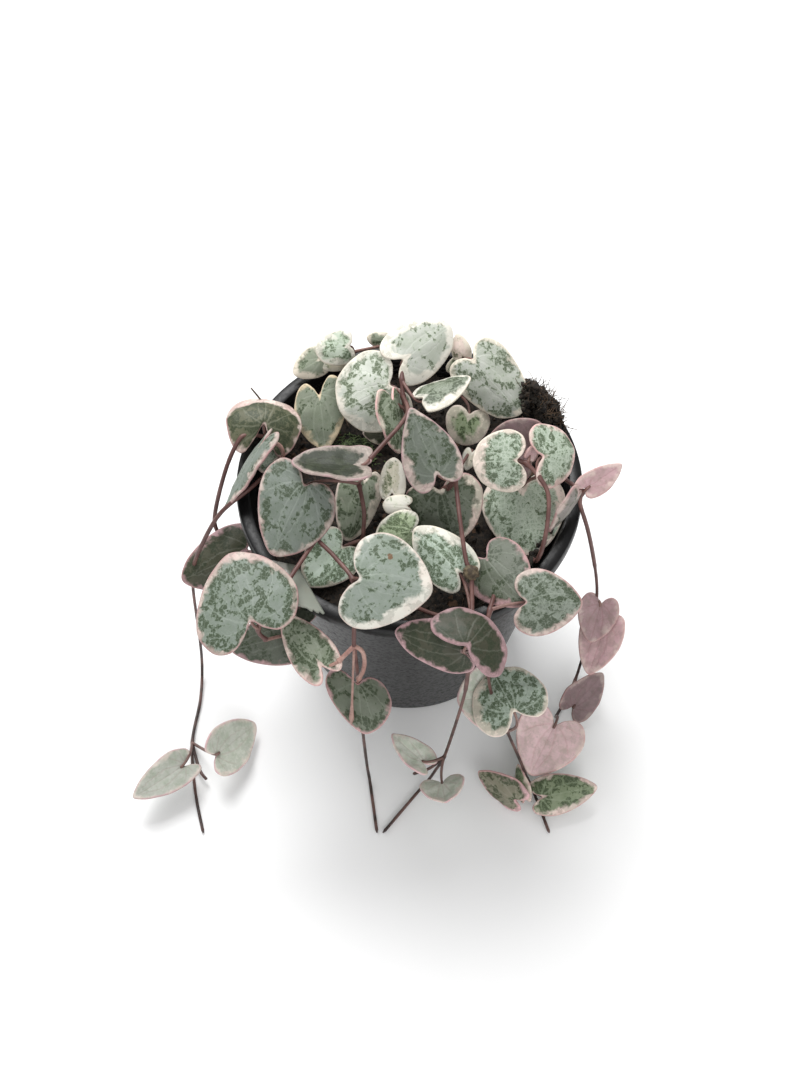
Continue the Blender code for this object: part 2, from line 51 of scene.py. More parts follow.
# The pot
POT_HEIGHT = 85 * MM
RIM_RADIUS = 50 * MM
BASE_RADIUS = 34 * MM
WALL = 1.2 * MM
FLOOR = 1.8 * MM
BASE_RECESS = 0.6 * MM
LIP_HEIGHT = 5 * MM
LIP_WIDTH = 2.8 * MM
POT_SIDES = 160
RIB_PITCH = 1.7 * MM
RIB_DEPTH = 0.3 * MM
DRAIN_HOLES = 8
DRAIN_RADIUS = 3.5 * MM
DRAIN_RING = 23 * MM
DRAIN_SIDES = 32

# The soil, with a heap by the rim, a bank along the wall and a tuft of moss
SOIL_TOP = 77 * MM
SOIL_GAP = 0.35 * MM
SOIL_BUMP = 1.2 * MM
SOIL_RINGS = 70
SOIL_LEVELS = 14
SOIL_SIDES = 200
HEAP_PLACE = Vector((37 * MM, 24 * MM, 0))
HEAP_HEIGHT = 16.5 * MM
HEAP_SPREAD = 8.5 * MM
HEAP_LEAN = 2.5 * MM
HEAP_LOOSE = 6 * MM
BANK_ANGLES = (-1.0, 0.45)
BANK_WIDTH = 5 * MM
MOSS_PLACE = Vector((-16.5 * MM, 13.5 * MM, 0))
MOSS_HEIGHT = 3 * MM
MOSS_SPREAD = 4.5 * MM
MOSS_STRANDS = 1100
MOSS_RADII = [0.18 * MM, 0.26 * MM, 0.24 * MM, 0.2 * MM, 0.15 * MM, 0.05 * MM]
CRUMBS = 2000
CRUMB_RADIUS = 1.15 * MM
HEAPED_CRUMBS = 0.45
BANKED_CRUMBS = 0.17
FIBRES = 700
HEAPED_FIBRES = 0.42
FIBRE_STEPS = 7

# The stems and leaves
HOLE_DEPTH = 7 * MM
HOLE_GAP = 0.45 * MM
STEM_RADIUS = 0.62 * MM
TRAIL_RADIUS = 0.48 * MM
TRAIL_HEIGHT = 60 * MM
STALK_RADIUS = 0.46 * MM
STEM_SIDES = 12
STEM_STEPS = 10
KNOT_SWELL = 0.45
KNOT_REACH = 0.9 * MM
FLOOR_REACH = 8 * MM
SETTLING = 0.8 * MM
STALK_SIDES = 10
STALK_STEPS = 16
BLADE_MIDDLE = 1.3 * MM
BLADE_RIM = 0.5 * MM
EDGE_BULGE = 0.35
CREASE = 0.5 * MM
BLADE_RINGS = 13
EDGE_STEPS = 6
BLADE_CENTRE = (0.3, 0)
SWELLING = 0.3 * MM
SWELLINGS_PER_METRE = 330
BRIGHTEST = 0.76
VEIN_ANGLE = 0.62
SILVER_VEIN = (0.5, 0.54, 0.48)
SPECKLE_GREEN = (0.045, 0.065, 0.03)
TUBER_RADIUS = 2.1 * MM
STALK_PALENESS = 0.3
BUD_PALENESS = 0.8
PATTERN_STEP = 3.7

# The picture that the plant was measured in
PICTURE_MIDDLE = (400, 532.5)
PICTURE_HEIGHT = 1065
VIEW_ELEVATION = math.radians(58.5)
VIEW_DISTANCE = 0.45
VIEW_AIM = Vector((-2.75 * MM, 0, 55 * MM))
LENS = 49.75
SENSOR = 36
FOCAL_PIXELS = LENS * PICTURE_HEIGHT / SENSOR

FORWARD = Vector((0, math.cos(VIEW_ELEVATION), -math.sin(VIEW_ELEVATION)))
UPWARD = Vector((0, math.sin(VIEW_ELEVATION), math.cos(VIEW_ELEVATION)))
RIGHTWARD = Vector((1, 0, 0))
EYE = VIEW_AIM - FORWARD * VIEW_DISTANCE

# The studio. A light is its place, its power in watts and its side in metres
LIGHTS = {"window": ((-0.15, 0.45, 0.7), 7.5, 0.5), "fill": ((0.25, -0.95, 0.55), 5, 0.8)}
SKY_STRENGTH = 0.62
FLOOR_SIDE = 24.0
FLOOR_DROP = -0.1 * MM


def colour(red, green, blue):
    """A colour given as it shows on a screen, from 0 to 255, as the linear values that shaders take."""
    shares = [value / 255 for value in (red, green, blue)]
    return tuple(share / 12.92 if share < 0.04045 else ((share + 0.055) / 1.055) ** 2.4 for share in shares)


SILVER = colour(150, 160, 150)
SILVER_GREEN = colour(130, 138, 126)
GREY_GREEN = colour(108, 114, 100)
DUSKY = colour(106, 102, 88)
OLIVE = colour(88, 88, 68)
# The next colour is painted shade: the dark green of a leaf's underside that lies in shade
PAINTED_SHADE_UNDER = colour(62, 70, 46)
FROST = colour(162, 165, 157)
DEEP_GREEN = colour(70, 70, 54)
FRESH_GREEN = colour(120, 130, 104)
WHITE = colour(228, 225, 214)
CREAM = colour(222, 213, 197)
PINK_CREAM = colour(220, 202, 192)
MAUVE = colour(196, 158, 162)
ROSE = colour(190, 150, 148)
PALE_UNDER = colour(186, 188, 178)
PINK_UNDER = colour(196, 162, 166)
GREY_UNDER = colour(168, 160, 154)
SCAR_BROWN = colour(106, 76, 50)
TAN = colour(196, 180, 152)
BLUSH_UNDER = colour(206, 178, 180)

# How a leaf is coloured. ground is its upper face, margin the pale band along its edge, rim the edge
# itself, and under its underside. marks is how much dark green shows and how strong its pale network
# is. band is the band's width in mm, how much wider it is on one side, and which: 0 is the tip, 90 the
# blade's left with the tip up, -90 its right, and 180 the notch. tone makes the whole leaf lighter or
# darker: it is painted light and shade, lighter where light falls on the leaf and darker where the leaf
# lies in shade. scar is a brown spot: how far it lies along the blade and to its side, as shares, and
# its reach in mm.
Look = namedtuple("Look", "ground margin rim under marks band tone scar",
                  defaults=(SILVER, PINK_CREAM, ROSE, PALE_UNDER, (0.6, 0.7), (0.4, 0, 0), 1.0, (0, 0, 0.1)))

# A leaf is on a stalk that leaves the stem at point `at` of its strand's routes, as (route, point).
# notch and tip are where the two ends of its midrib show, and height is the notch's, in mm. wide is the
# blade's width over its length. lean turns the tip towards the viewer, roll turns the blade about its
# midrib, with its underside in view at 180, and fold closes it along the midrib, in degrees. dome and
# curl bend its sides and its ends down. ears is how far its two lobes reach behind the notch, blunt is
# how round its tip is, and skew is how much further forward its left lobe is than its right, with the
# tip up.
Leaf = namedtuple("Leaf", "at notch tip height wide lean roll fold dome curl ears blunt skew",
                  defaults=(0, 0, 8, 0.1, 0.12, 0.16, 0.3, 0))

# A bud is a small swelling at the tip of its own stalk, with its radius in mm
Bud = namedtuple("Bud", "at tip height radius")

# Each route is the line of one stem, and the rooted ones start in the soil. looks has one Look a leaf
Strand = namedtuple("Strand", "routes leaves looks rooted buds", defaults=((0,), ()))

Plane = namedtuple("Plane", "origin along across normal length")

STRANDS = {}
STRANDS["strand_left"] = Strand([
    [(290, 470, 80), (285, 463, 87), (278.5, 462, 91), (252, 487, 92), (221, 512.5, 86), (202, 544.5, 73),
     (193, 570, 59), (193.5, 593, 46), (200, 640, 19), (202, 668, 4), (200, 700, 1.6), (192, 742, 1.6),
     (195, 790, 1.5), (203, 832, 1.4)],
    [(277, 448, 80), (267, 438, 88), (250, 435, 91), (239, 440, 91), (225, 472, 84), (214.5, 519, 68),
     (222, 538, 62)],
    [(192, 742, 1.6), (199, 768, 3), (206.5, 779, 3)],
    [(278.5, 462, 91), (283, 456, 93.5), (281, 447.5, 96), (275, 443, 97), (268, 442, 97)],
], [
    Leaf((1, 1), (264, 423), (268, 388), 94, 1.5, lean=-45, fold=3, dome=0.25, curl=0.8, ears=0.4,
         blunt=0.8),
    Leaf((3, 4), (263, 441), (221, 508), 97, 0.56, roll=-74, ears=0.19),
    Leaf((0, 1), (279, 459), (256, 466), 84, 1.2, blunt=0.6),
    Leaf((1, 6), (250, 548), (183, 580), 64, 0.8, blunt=0.5),
    Leaf((0, 11), (214, 756), (254, 724), 11, 0.8, lean=-35, roll=160, fold=14),
    Leaf((0, 11), (186, 765), (136, 798), 7, 0.62, lean=15, roll=160),
], [
    Look(OLIVE, marks=(0.9, 0.2), band=(0.1, 7.5, 0), tone=1.05),
    Look(under=PINK_UNDER, marks=(0.55, 0.8), band=(0.9, 0, 0), tone=0.55),
    Look(SILVER_GREEN, marks=(0.7, 0.9), band=(0.3, 0, 0)),
    Look(OLIVE, MAUVE, marks=(0.7, 0.3), band=(0.5, 1.2, 180), tone=0.55),
    Look(ground=SILVER_GREEN, rim=MAUVE, tone=1.12),
    Look(ground=SILVER_GREEN, rim=MAUVE, tone=0.69),
], rooted=(0, 1))
STRANDS["strand_front_left"] = Strand([
    [(321, 517, 80), (320, 526, 85.2), (317, 538, 88.6), (334, 556, 92), (353, 580, 94), (355, 605, 92.5),
     (354, 632, 88.8), (354, 646, 82), (356, 662, 73), (359, 690, 56), (363, 733, 31), (367, 765, 10),
     (370, 782, 1.8), (377, 832, 1.4)],
    [(317, 538, 88.6), (290, 578, 91.2), (274, 604, 88.6), (258, 628, 84), (266, 640, 78)],
    [(354, 646, 82), (362, 651, 79.5), (364.5, 661, 75), (363, 671, 70.5), (358.5, 679, 67)],
    [(354, 646, 82), (347, 653, 81.5), (338, 662, 80)],
], [
    Leaf((0, 4), (356.6, 577.8), (432, 592), 101, 1.28, ears=0.12, blunt=0.3, skew=0.07),
    Leaf((1, 3), (251.6, 623.7), (228, 552), 92, 1.38, lean=-15, ears=0.2, blunt=0.4, skew=-0.1),
    Leaf((1, 4), (300, 632), (232, 650), 74, 0.8, ears=0.3),
    Leaf((3, 2), (323, 668), (282, 614), 78, 0.66, lean=-10),
    Leaf((2, 4), (357, 682), (364, 733), 66, 1.2, skew=0.24),
], [
    Look(SILVER, WHITE, PINK_CREAM, marks=(0.5, 0.7), band=(0.3, 2.6, -35), tone=0.79,
         scar=(0.34, 0.53, 1.1)),
    Look(marks=(0.8, 0.6), band=(0.5, 1.3, -20), tone=0.67),
    Look(GREY_GREEN, MAUVE, marks=(0.6, 0.5), band=(0.2, 0, 0), tone=0.54),
    Look(GREY_GREEN, marks=(0.7, 0.5), band=(0.4, 0.9, 180), tone=1.34),
    Look(GREY_GREEN, MAUVE, marks=(0.6, 0.4), band=(0.2, 0, 0), tone=0.94),
], buds=[Bud((0, 7), (352, 704), 66, 1.0)])
STRANDS["strand_front"] = Strand([
    [(441, 503, 80), (444, 496, 88), (450, 486, 95), (455, 481, 98.5), (460, 520, 97), (466, 560, 94),
     (471, 573, 93), (472, 600, 91), (471.5, 620, 90), (471, 636, 88), (470, 650, 84), (467, 680, 66),
     (463, 700, 54), (452, 735, 31), (444, 757, 17), (437, 768, 9), (428, 780, 3), (418, 791, 1.8),
     (383, 832, 1.4)],
    [(414, 606, 82), (430, 613, 85.5), (450, 618, 88.5), (471.5, 620, 90)],
    [(444, 757, 17), (430, 768, 12), (413, 774, 9)],
], [
    Leaf((0, 3), (438, 477), (410, 407), 103, 0.76, lean=-10, fold=12, ears=0.12, blunt=0),
    Leaf((0, 2), (440, 488), (455, 543), 93, 1.4, blunt=0.5),
    Leaf((0, 8), (460.5, 574), (415, 528), 90, 0.8, blunt=0.5),
    Leaf((0, 10), (466, 647), (491, 616), 94, 1.9, lean=-30, dome=0.2, curl=0.3, ears=0.12, blunt=0.9),
    Leaf((0, 10), (466, 652), (395, 632), 87.5, 0.72, roll=15, blunt=0.5),
    Leaf((0, 1), (472, 452), (466, 470), 86, 0.8),
    Leaf((0, 14), (425, 765), (391, 736), 16, 0.75, roll=145),
    Leaf((0, 14), (442, 783), (446, 803), 10, 1.4, lean=50, roll=180),
], [
    Look(ground=SILVER_GREEN, rim=MAUVE, marks=(0.7, 0.6), band=(0.6, 1.4, 90), tone=0.51),
    Look(GREY_GREEN, CREAM, marks=(0.8, 0.3), band=(0.4, 1.8, 90), tone=0.77),
    Look(SILVER, WHITE, CREAM, marks=(0.9, 0.9), band=(0.5, 1.7, -60), tone=1.36),
    Look(OLIVE, MAUVE, MAUVE, marks=(0.8, 0.2), band=(0.8, 0.7, -90), tone=0.42),
    Look(DEEP_GREEN, MAUVE, MAUVE, marks=(0.8, 0.15), band=(0.5, 0, 0), tone=0.82),
    Look(CREAM, WHITE, CREAM, marks=(0.1, 0.3), band=(0.6, 0, 0)),
    Look(rim=MAUVE, tone=1.5),
    Look(rim=MAUVE, tone=1.5),
])
STRANDS["strand_front_right"] = Strand([
    [(497, 582, 80), (495, 592, 87), (490, 610, 89.5), (486, 630, 87.4), (487, 645, 83), (487.5, 668, 66),
     (492, 695, 48), (507, 731, 30), (519, 758, 15), (526, 775, 7), (530.4, 784, 3), (536, 797, 1.8),
     (549.5, 832, 1.4)],
], [
    Leaf((0, 1), (484, 556), (524, 602), 89.5, 0.93, lean=30),
    Leaf((0, 2), (523.8, 602), (581.8, 603.3), 93, 1.15),
    Leaf((0, 6), (489, 697), (457, 700), 43, 1.85, lean=20, roll=180),
    Leaf((0, 7), (514.6, 712.7), (492, 670), 50, 1.5, lean=-20, ears=0.25, blunt=0.9),
    Leaf((0, 10), (517, 801), (478, 773), 6, 0.75, roll=40),
    Leaf((0, 10), (524, 797), (517, 765), 5, 0.6, roll=50),
    Leaf((0, 10), (540, 797), (596.7, 787), 7, 0.7),
], [
    Look(GREY_GREEN, MAUVE, marks=(0.6, 0.6), band=(0.5, 0.8, -60), tone=0.7),
    Look(SILVER_GREEN, marks=(0.75, 0.9), band=(0.3, 0.8, -60), tone=0.71),
    Look(rim=MAUVE, tone=1.1),
    Look(SILVER, CREAM, PINK_CREAM, marks=(0.9, 0.9), band=(0.3, 2.0, 90), tone=1.4),
    Look(DUSKY, MAUVE, marks=(0.7, 0.5), band=(0.3, 0, 0), tone=1.47),
    Look(FRESH_GREEN, CREAM, marks=(0.5, 0.3), band=(0.3, 0, 0), tone=1.2),
    Look(FRESH_GREEN, marks=(0.85, 0.3), band=(0.4, 1.2, -60), tone=1.06),
])
STRANDS["strand_right"] = Strand([
    [(552, 474, 80), (556, 474, 87), (562, 477, 91), (569, 482, 93), (576, 487, 93.5), (582, 492, 92.5),
     (580, 503, 90), (587.6, 529, 80), (593, 555, 66), (596.5, 580, 52), (596.5, 600, 41), (592, 622, 29),
     (587.6, 639, 19), (581, 662, 6), (575, 680, 2), (566, 698, 1.5), (556, 716, 1.5)],
], [
    Leaf((0, 5), (585, 489), (620, 464), 94, 0.6, lean=-20, roll=165, ears=0.12, skew=0.1),
    Leaf((0, 4), (578, 495), (551, 533), 94, 0.75, roll=72),
    Leaf((0, 10), (601, 602), (590, 642), 42, 0.95, roll=180),
    Leaf((0, 10), (607, 621), (589, 674), 38, 0.8, roll=165),
    Leaf((0, 14), (571, 708), (602, 673), 5, 0.85, roll=150),
    Leaf((0, 16), (556, 723), (529.5, 774), 10, 1.15, lean=12, roll=180),
], [
    Look(under=PINK_UNDER, tone=0.92),
    Look(ground=GREY_UNDER, under=PINK_UNDER, marks=(0.4, 0.6), band=(0.7, 0, 0), tone=0.51),
    Look(under=PINK_UNDER, tone=0.67),
    Look(under=PINK_UNDER, tone=1.05),
    Look(under=PINK_UNDER, tone=0.37),
    Look(under=BLUSH_UNDER, tone=1.2),
])
STRANDS["shoot_left"] = Strand([
    [(364, 550, 80), (363, 540, 84), (363.5, 530, 88), (364, 511, 92), (359, 484, 94)],
], [
    Leaf((0, 4), (305.8, 482), (272, 553), 100, 1.02, lean=10, ears=0.13, blunt=0.35, skew=0.1),
    Leaf((0, 4), (365, 478), (348, 540), 88, 0.72, lean=12, roll=20, blunt=0.5),
    Leaf((0, 1), (344, 545), (305, 584), 83.6, 0.95, lean=16),
], [
    Look(marks=(0.6, 0.5), band=(0.3, 0.4, 90), tone=0.5),
    Look(GREY_GREEN, CREAM, PINK_CREAM, marks=(0.7, 0.5), band=(0.4, 2.4, 90), tone=1.69),
    Look(SILVER, CREAM, PINK_CREAM, marks=(0.8, 0.8), band=(0.2, 0, 0), tone=2.29),
])
STRANDS["shoot_back"] = Strand([
    [(410, 432, 80), (409, 424, 86), (406, 410, 91), (403, 396, 94), (402, 380, 96), (402, 368, 97)],
    [(403, 396, 94), (408, 410, 98), (401, 424, 100), (385, 442, 101), (369, 460, 101)],
], [
    Leaf((0, 5), (401, 361), (452, 325), 99, 0.9, lean=-20, blunt=0.8),
    Leaf((0, 3), (392, 384), (340, 411), 95, 1.4, blunt=0.9),
    Leaf((0, 2), (392, 397), (402, 453), 96, 0.85, roll=58, blunt=0.6),
    Leaf((1, 4), (370, 467), (292, 465), 101, 0.66, roll=131, ears=0.02, blunt=0.7),
    Leaf((0, 4), (421, 399), (470, 375), 98.5, 0.8, lean=-15, roll=52, ears=0.04),
], [
    Look(FROST, WHITE, CREAM, marks=(0.4, 0.7), band=(2.0, 1.4, 180), tone=1.29),
    Look(FROST, WHITE, CREAM, marks=(0.7, 0.8), band=(0.9, 2.0, 60), tone=1.58),
    Look(GREY_GREEN, CREAM, marks=(0.8, 0.85), tone=2.2),
    # This leaf's underside colour is painted shade
    Look(OLIVE, PINK_CREAM, MAUVE, PAINTED_SHADE_UNDER, marks=(1.0, 0.2), band=(1.0, 2.4, 180), tone=0.6),
    Look(GREY_GREEN, WHITE, CREAM, marks=(0.7, 0.9), band=(0.7, 1.4, -90), tone=1.29),
])
STRANDS["shoot_back_left"] = Strand([
    [(352, 392, 80), (352, 382, 86), (353, 366, 90), (353, 352, 92)],
], [
    Leaf((0, 2), (322, 358), (294, 374), 91, 0.95, blunt=0.5),
    Leaf((0, 3), (351, 346), (316, 352), 96, 0.97, ears=0.06, blunt=0.9),
    Leaf((0, 3), (348, 357), (322, 367), 91, 0.75, blunt=0.6),
    Leaf((0, 3), (388, 342), (367, 337), 90, 0.8, blunt=0.6),
    Leaf((0, 0), (319, 393), (325.6, 449), 90, 0.93, lean=6, ears=0.24, skew=-0.1),
    Leaf((0, 0), (386, 436), (363, 433), 81, 0.8),
], [
    Look(GREY_GREEN, CREAM, CREAM, marks=(0.3, 0.2), band=(0.5, 1.0, 0), tone=1.72),
    Look(SILVER_GREEN, WHITE, CREAM, band=(1.3, 0, 0), tone=2.1),
    Look(CREAM, WHITE, CREAM, marks=(0.1, 0.3), band=(0.8, 0, 0)),
    Look(GREY_GREEN, CREAM, CREAM, marks=(0.6, 0.5), tone=1.6),
    Look(GREY_GREEN, TAN, TAN, marks=(0.3, 0.75), band=(0.3, 0.9, 0), tone=1.4, scar=(0.45, -0.95, 1.7)),
    Look(DEEP_GREEN, CREAM, PINK_CREAM, marks=(0.6, 0.3), band=(0.2, 0, 0), tone=1.3),
])
STRANDS["shoot_back_right"] = Strand([
    [(452, 392, 80), (455, 385, 86), (462, 372, 91), (465, 360, 94)],
], [
    Leaf((0, 3), (471, 357), (521, 413), 99, 0.82, lean=5, ears=0.1, blunt=0.85),
    Leaf((0, 3), (463, 357), (457, 334), 93, 0.8),
    Leaf((0, 2), (461, 362), (447, 371), 91, 0.9, blunt=0.8),
    Leaf((0, 0), (469.5, 413), (463, 445), 88, 1.33, blunt=0.8),
], [
    Look(FROST, CREAM, CREAM, marks=(0.6, 0.75), band=(0.3, 0.9, -120), tone=1.15),
    Look(PINK_CREAM, CREAM, CREAM, marks=(0.1, 0.3), band=(0.6, 0, 0), tone=0.99),
    Look(FRESH_GREEN, CREAM, CREAM, marks=(0.4, 0.3), band=(0.8, 0, 0), tone=1.3),
    Look(FRESH_GREEN, CREAM, PINK_CREAM, marks=(0.9, 0.4), band=(1.9, 0.8, 120), tone=2.0),
])
STRANDS["shoot_right"] = Strand([
    [(531, 556, 80), (536, 561, 85), (543, 546, 91), (548, 519, 95), (548, 493.6, 98), (539, 477, 100),
     (527, 464, 101), (518, 461, 101)],
], [
    Leaf((0, 7), (518.6, 460.5), (473, 462), 103, 1.36, blunt=0.8),
    Leaf((0, 6), (531, 456), (490, 436), 96, 1.45, roll=175, blunt=0.6),
    Leaf((0, 5), (541.6, 456.7), (576, 450), 103.5, 1.42, lean=-40, blunt=0.8),
    Leaf((0, 6), (528, 457), (536, 444), 101, 0.9, roll=150, fold=30),
    Leaf((0, 5), (521, 486), (531, 554), 88.4, 1.17, lean=12, blunt=0.5),
], [
    Look(ground=SILVER_GREEN, rim=CREAM, marks=(0.75, 1), band=(0.6, 1.1, 0), tone=1.54),
    Look(ground=SILVER_GREEN, under=PINK_UNDER, tone=0.36),
    Look(SILVER_GREEN, marks=(0.75, 1), band=(0.4, 0.6, -90), tone=1.74),
    Look(ground=SILVER_GREEN, under=PINK_UNDER),
    Look(ground=SILVER_GREEN, rim=CREAM, marks=(0.55, 1), band=(0.5, 1.8, 130), tone=1.69),
])
STRANDS["shoot_middle"] = Strand([
    [(418, 545, 80), (416, 538, 85), (413, 528, 88), (408, 514, 90), (400, 498, 91)],
], [
    Leaf((0, 2), (414, 531), (376, 536), 90, 1.15, blunt=0.6),
    Leaf((0, 3), (408, 506), (383, 505), 91, 0.85, blunt=1),
    Leaf((0, 4), (392, 494), (394, 458), 92, 0.72, blunt=0.8),
], [
    Look(FRESH_GREEN, WHITE, CREAM, marks=(0.8, 0.9), tone=1.81),
    Look(WHITE, WHITE, CREAM, marks=(0.12, 0.1), band=(0.3, 0, 0), tone=1.2),
    Look(CREAM, WHITE, CREAM, marks=(0.6, 0.4), band=(0.8, 1.4, -90), tone=0.72),
])

# The tuber's strand, route and point
TUBER_AT = ("strand_front", 0, 6)

# The routes that are pale young stalks, as strand and number
PALE_ROUTES = {("strand_left", 3), ("strand_front_left", 2), ("strand_front_left", 3)}

# The plant label's corners as places: the ends of its upper long side, and those of its lower one
LABEL_CORNERS = [(268, 560, 88.4), (299, 607, 88.2), (326, 616, 86.6), (297, 566, 84.6)]
LABEL_THICKNESS = 0.5 * MM
LABEL_BOW = 0.35 * MM
LABEL_COLUMNS = 24
LABEL_ROWS = 12

# The dry twig that stands out of the soil at the back left, as places
TWIG = [(276, 424, 79), (263, 403, 89), (251, 388, 95)]
TWIG_RADIUS = 0.4 * MM

# What each corner of a leaf tells its material. leaf_place is millimetres along and across the blade
# and the leaf's own number, leaf_edge the distance to the edge and the pale band's width there, both in
# mm, and 1 on the underside, and leaf_marks the look's marks and how brown its scar is. On stems and
# stalks leaf_marks starts with how pale they are.
LEAF_VALUES = ["leaf_" + name for name in ("place", "edge", "marks", "ground", "margin", "rim", "under")]

# The places of the materials in each strand's list
LEAF = 0
STEM = 1
TUBER = 2


def place(column, row, height):
    """The point that shows at a pixel of the picture, at a height in mm."""
    right = (column - PICTURE_MIDDLE[0]) / FOCAL_PIXELS
    up = (PICTURE_MIDDLE[1] - row) / FOCAL_PIXELS
    ray = FORWARD + RIGHTWARD * right + UPWARD * up
    return EYE + ray * ((height * MM - EYE.z) / ray.z)


def turned(radius, angle, height=0):
    """The point at an angle round the pot's axis."""
    return Vector((radius * math.cos(angle), radius * math.sin(angle), height))


def angles_round(sides):
    return [math.tau * side / sides for side in range(sides)]


def smooth(points, steps):
    """A Catmull-Rom curve through the given points."""
    curve = []
    last = len(points) - 1
    for i in range(last):
        before, start, end, after = points[max(i - 1, 0)], points[i], points[i + 1], points[min(i + 2, last)]
        for step in range(steps):
            t = step / steps
            pull = (end - before) * t + (before * 2 - start * 5 + end * 4 - after) * t ** 2
            curve.append(start + (pull + (start * 3 - before - end * 3 + after) * t ** 3) / 2)
    return curve + [points[last]]


def smooth_closed(points, steps):
    """A smooth curve round a closed loop of points."""
    wrapped = points[-1:] + points + points[:2]
    return smooth(wrapped, steps)[steps:steps * (len(points) + 1)]


def route_line(route, rooted):
    """A stem's line, which goes straight down into its hole where it's rooted."""
    points = [place(*point) for point in route]
    line = smooth(points, STEM_STEPS)
    if rooted:
        foot = points[0].copy()
        foot.z = SOIL_TOP - HOLE_DEPTH + HOLE_GAP
        line = [foot] + line
    return line


def leaf_plane(one):
    """Where a leaf's blade lies. The normal is its upper face's."""
    origin = place(*one.notch, one.height)
    toward = (EYE - origin).normalized()
    right = (RIGHTWARD - toward * RIGHTWARD.dot(toward)).normalized()
    up = toward.cross(right)
    reach = (origin - EYE).dot(FORWARD) / FOCAL_PIXELS
    shown = right * (one.tip[0] - one.notch[0]) - up * (one.tip[1] - one.notch[1])
    lean = math.radians(one.lean)
    along = shown.normalized() * math.cos(lean) + toward * math.sin(lean)
    facing = (toward - along * toward.dot(along)).normalized()
    roll = math.radians(one.roll)
    normal = facing * math.cos(roll) + facing.cross(along) * math.sin(roll)
    return Plane(origin, along, normal.cross(along), normal, shown.length * reach / math.cos(lean))


def outline(one):
    """The blade's edge as (share of length, share of half width), from the notch round by the tip."""
    ears = one.ears
    blunt = one.blunt
    half = [
        (-0.5 * ears, 0.2),
        (-ears, 0.48),
        (-0.6 * ears, 0.8),
        (0.14, 1),
        (0.4, 0.94 + 0.04 * blunt),
        (0.66, 0.66 + 0.2 * blunt),
        (0.87, 0.3 + 0.32 * blunt),
    ]
    left = [(t, -s) for t, s in reversed(half)]
    return [Vector(point) for point in [(0.04, 0)] + half + [(1, 0)] + left]


def blade_height(one, length, t, s):
    """How far the blade's middle surface is above its flat plane, in metres."""
    half = one.wide * length / 2
    fold = math.tan(math.radians(one.fold)) * (math.hypot(s * half, CREASE) - CREASE)
    sides = one.dome * half * s * s
    ends = one.curl * length * (t - 0.35) ** 2
    wave = 0.02 * length * s * s * math.sin(9 * t + one.notch[0])
    return wave - fold - sides - ends


def blade_point(one, plane, t, s):
    half = one.wide * plane.length / 2
    forward = plane.along * ((t + one.skew * s) * plane.length)
    lift = plane.normal * blade_height(one, plane.length, t, s)
    return plane.origin + forward + plane.across * (s * half) + lift


def new_object(name, corners, faces, materials=(), shares=None):
    """A smooth-shaded mesh object. shares has each face's place in the list of materials."""
    mesh = bpy.data.meshes.new(name)
    mesh.from_pydata([tuple(corner) for corner in corners], [], faces)
    for material in materials:
        mesh.materials.append(material)
    if shares:
        mesh.polygons.foreach_set("material_index", shares)
    mesh.shade_smooth()
    made = bpy.data.objects.new(name, mesh)
    bpy.context.scene.collection.objects.link(made)
    return made


def apply_modifiers(made):
    bpy.context.view_layer.update()
    graph = bpy.context.evaluated_depsgraph_get()
    mesh = bpy.data.meshes.new_from_object(made.evaluated_get(graph))
    made.modifiers.clear()
    made.data = mesh


def face_outward(made):
    shape = bmesh.new()
    shape.from_mesh(made.data)
    bmesh.ops.recalc_face_normals(shape, faces=shape.faces)
    shape.to_mesh(made.data)
    shape.free()
    made.data.shade_smooth()


class Growth:
    """The corners, faces and leaf values of one piece while it is put together."""

    def __init__(self):
        self.corners = []
        self.faces = []
        self.materials = []
        self.values = []

    def add(self, corners, faces, material=0, values=None, paleness=0.0):
        first = len(self.corners)
        self.corners += corners
        self.faces += [tuple(first + corner for corner in face) for face in faces]
        self.materials += [material] * len(faces)
        self.values += values or [[(paleness, 0, 0)] * len(LEAF_VALUES)] * len(corners)

    def finish(self, name, materials):
        made = new_object(name, self.corners, self.faces, materials, self.materials)
        for value, rows in zip(LEAF_VALUES, zip(*self.values)):
            attribute = made.data.attributes.new(value, "FLOAT_VECTOR", "POINT")
            attribute.data.foreach_set("vector", [number for row in rows for number in row])
        return made


def ring_faces(rings, sides):
    """The faces between closed rings of corners that are listed one after the other."""
    faces = []
    for ring in range(rings - 1):
        for side in range(sides):
            after = (side + 1) % sides
            low = ring * sides
            high = low + sides
            faces.append((low + after, high + after, high + side, low + side))
    return faces


def tube(line, radii, sides):
    """The corners and faces of a closed tube along a line, with a radius at each of its points."""
    corners = []
    across = (line[1] - line[0]).orthogonal()
    for i, point in enumerate(line):
        along = (line[min(i + 1, len(line) - 1)] - line[max(i - 1, 0)]).normalized()
        across = (across - along * across.dot(along)).normalized()
        other = along.cross(across)
        for angle in angles_round(sides):
            corners.append(point + (across * math.cos(angle) + other * math.sin(angle)) * radii[i])
    faces = ring_faces(len(line), sides)
    faces.append(tuple(reversed(range(sides))))
    faces.append(tuple(range(len(corners) - sides, len(corners))))
    return corners, faces


def ball(subdivisions):
    """The corners and faces of a ball of radius 1."""
    shape = bmesh.new()
    bmesh.ops.create_icosphere(shape, subdivisions=subdivisions, radius=1)
    corners = [corner.co.normalized() for corner in shape.verts]
    faces = [tuple(corner.index for corner in face.verts) for face in shape.faces]
    shape.free()
    return corners, faces


def with_painted_light(tint, tone):
    """A colour made lighter or darker by a leaf's painted light and shade, and never whiter than white
    paint.
    """
    tone = min(tone, BRIGHTEST / max(tint))
    return tuple(share * tone for share in tint)


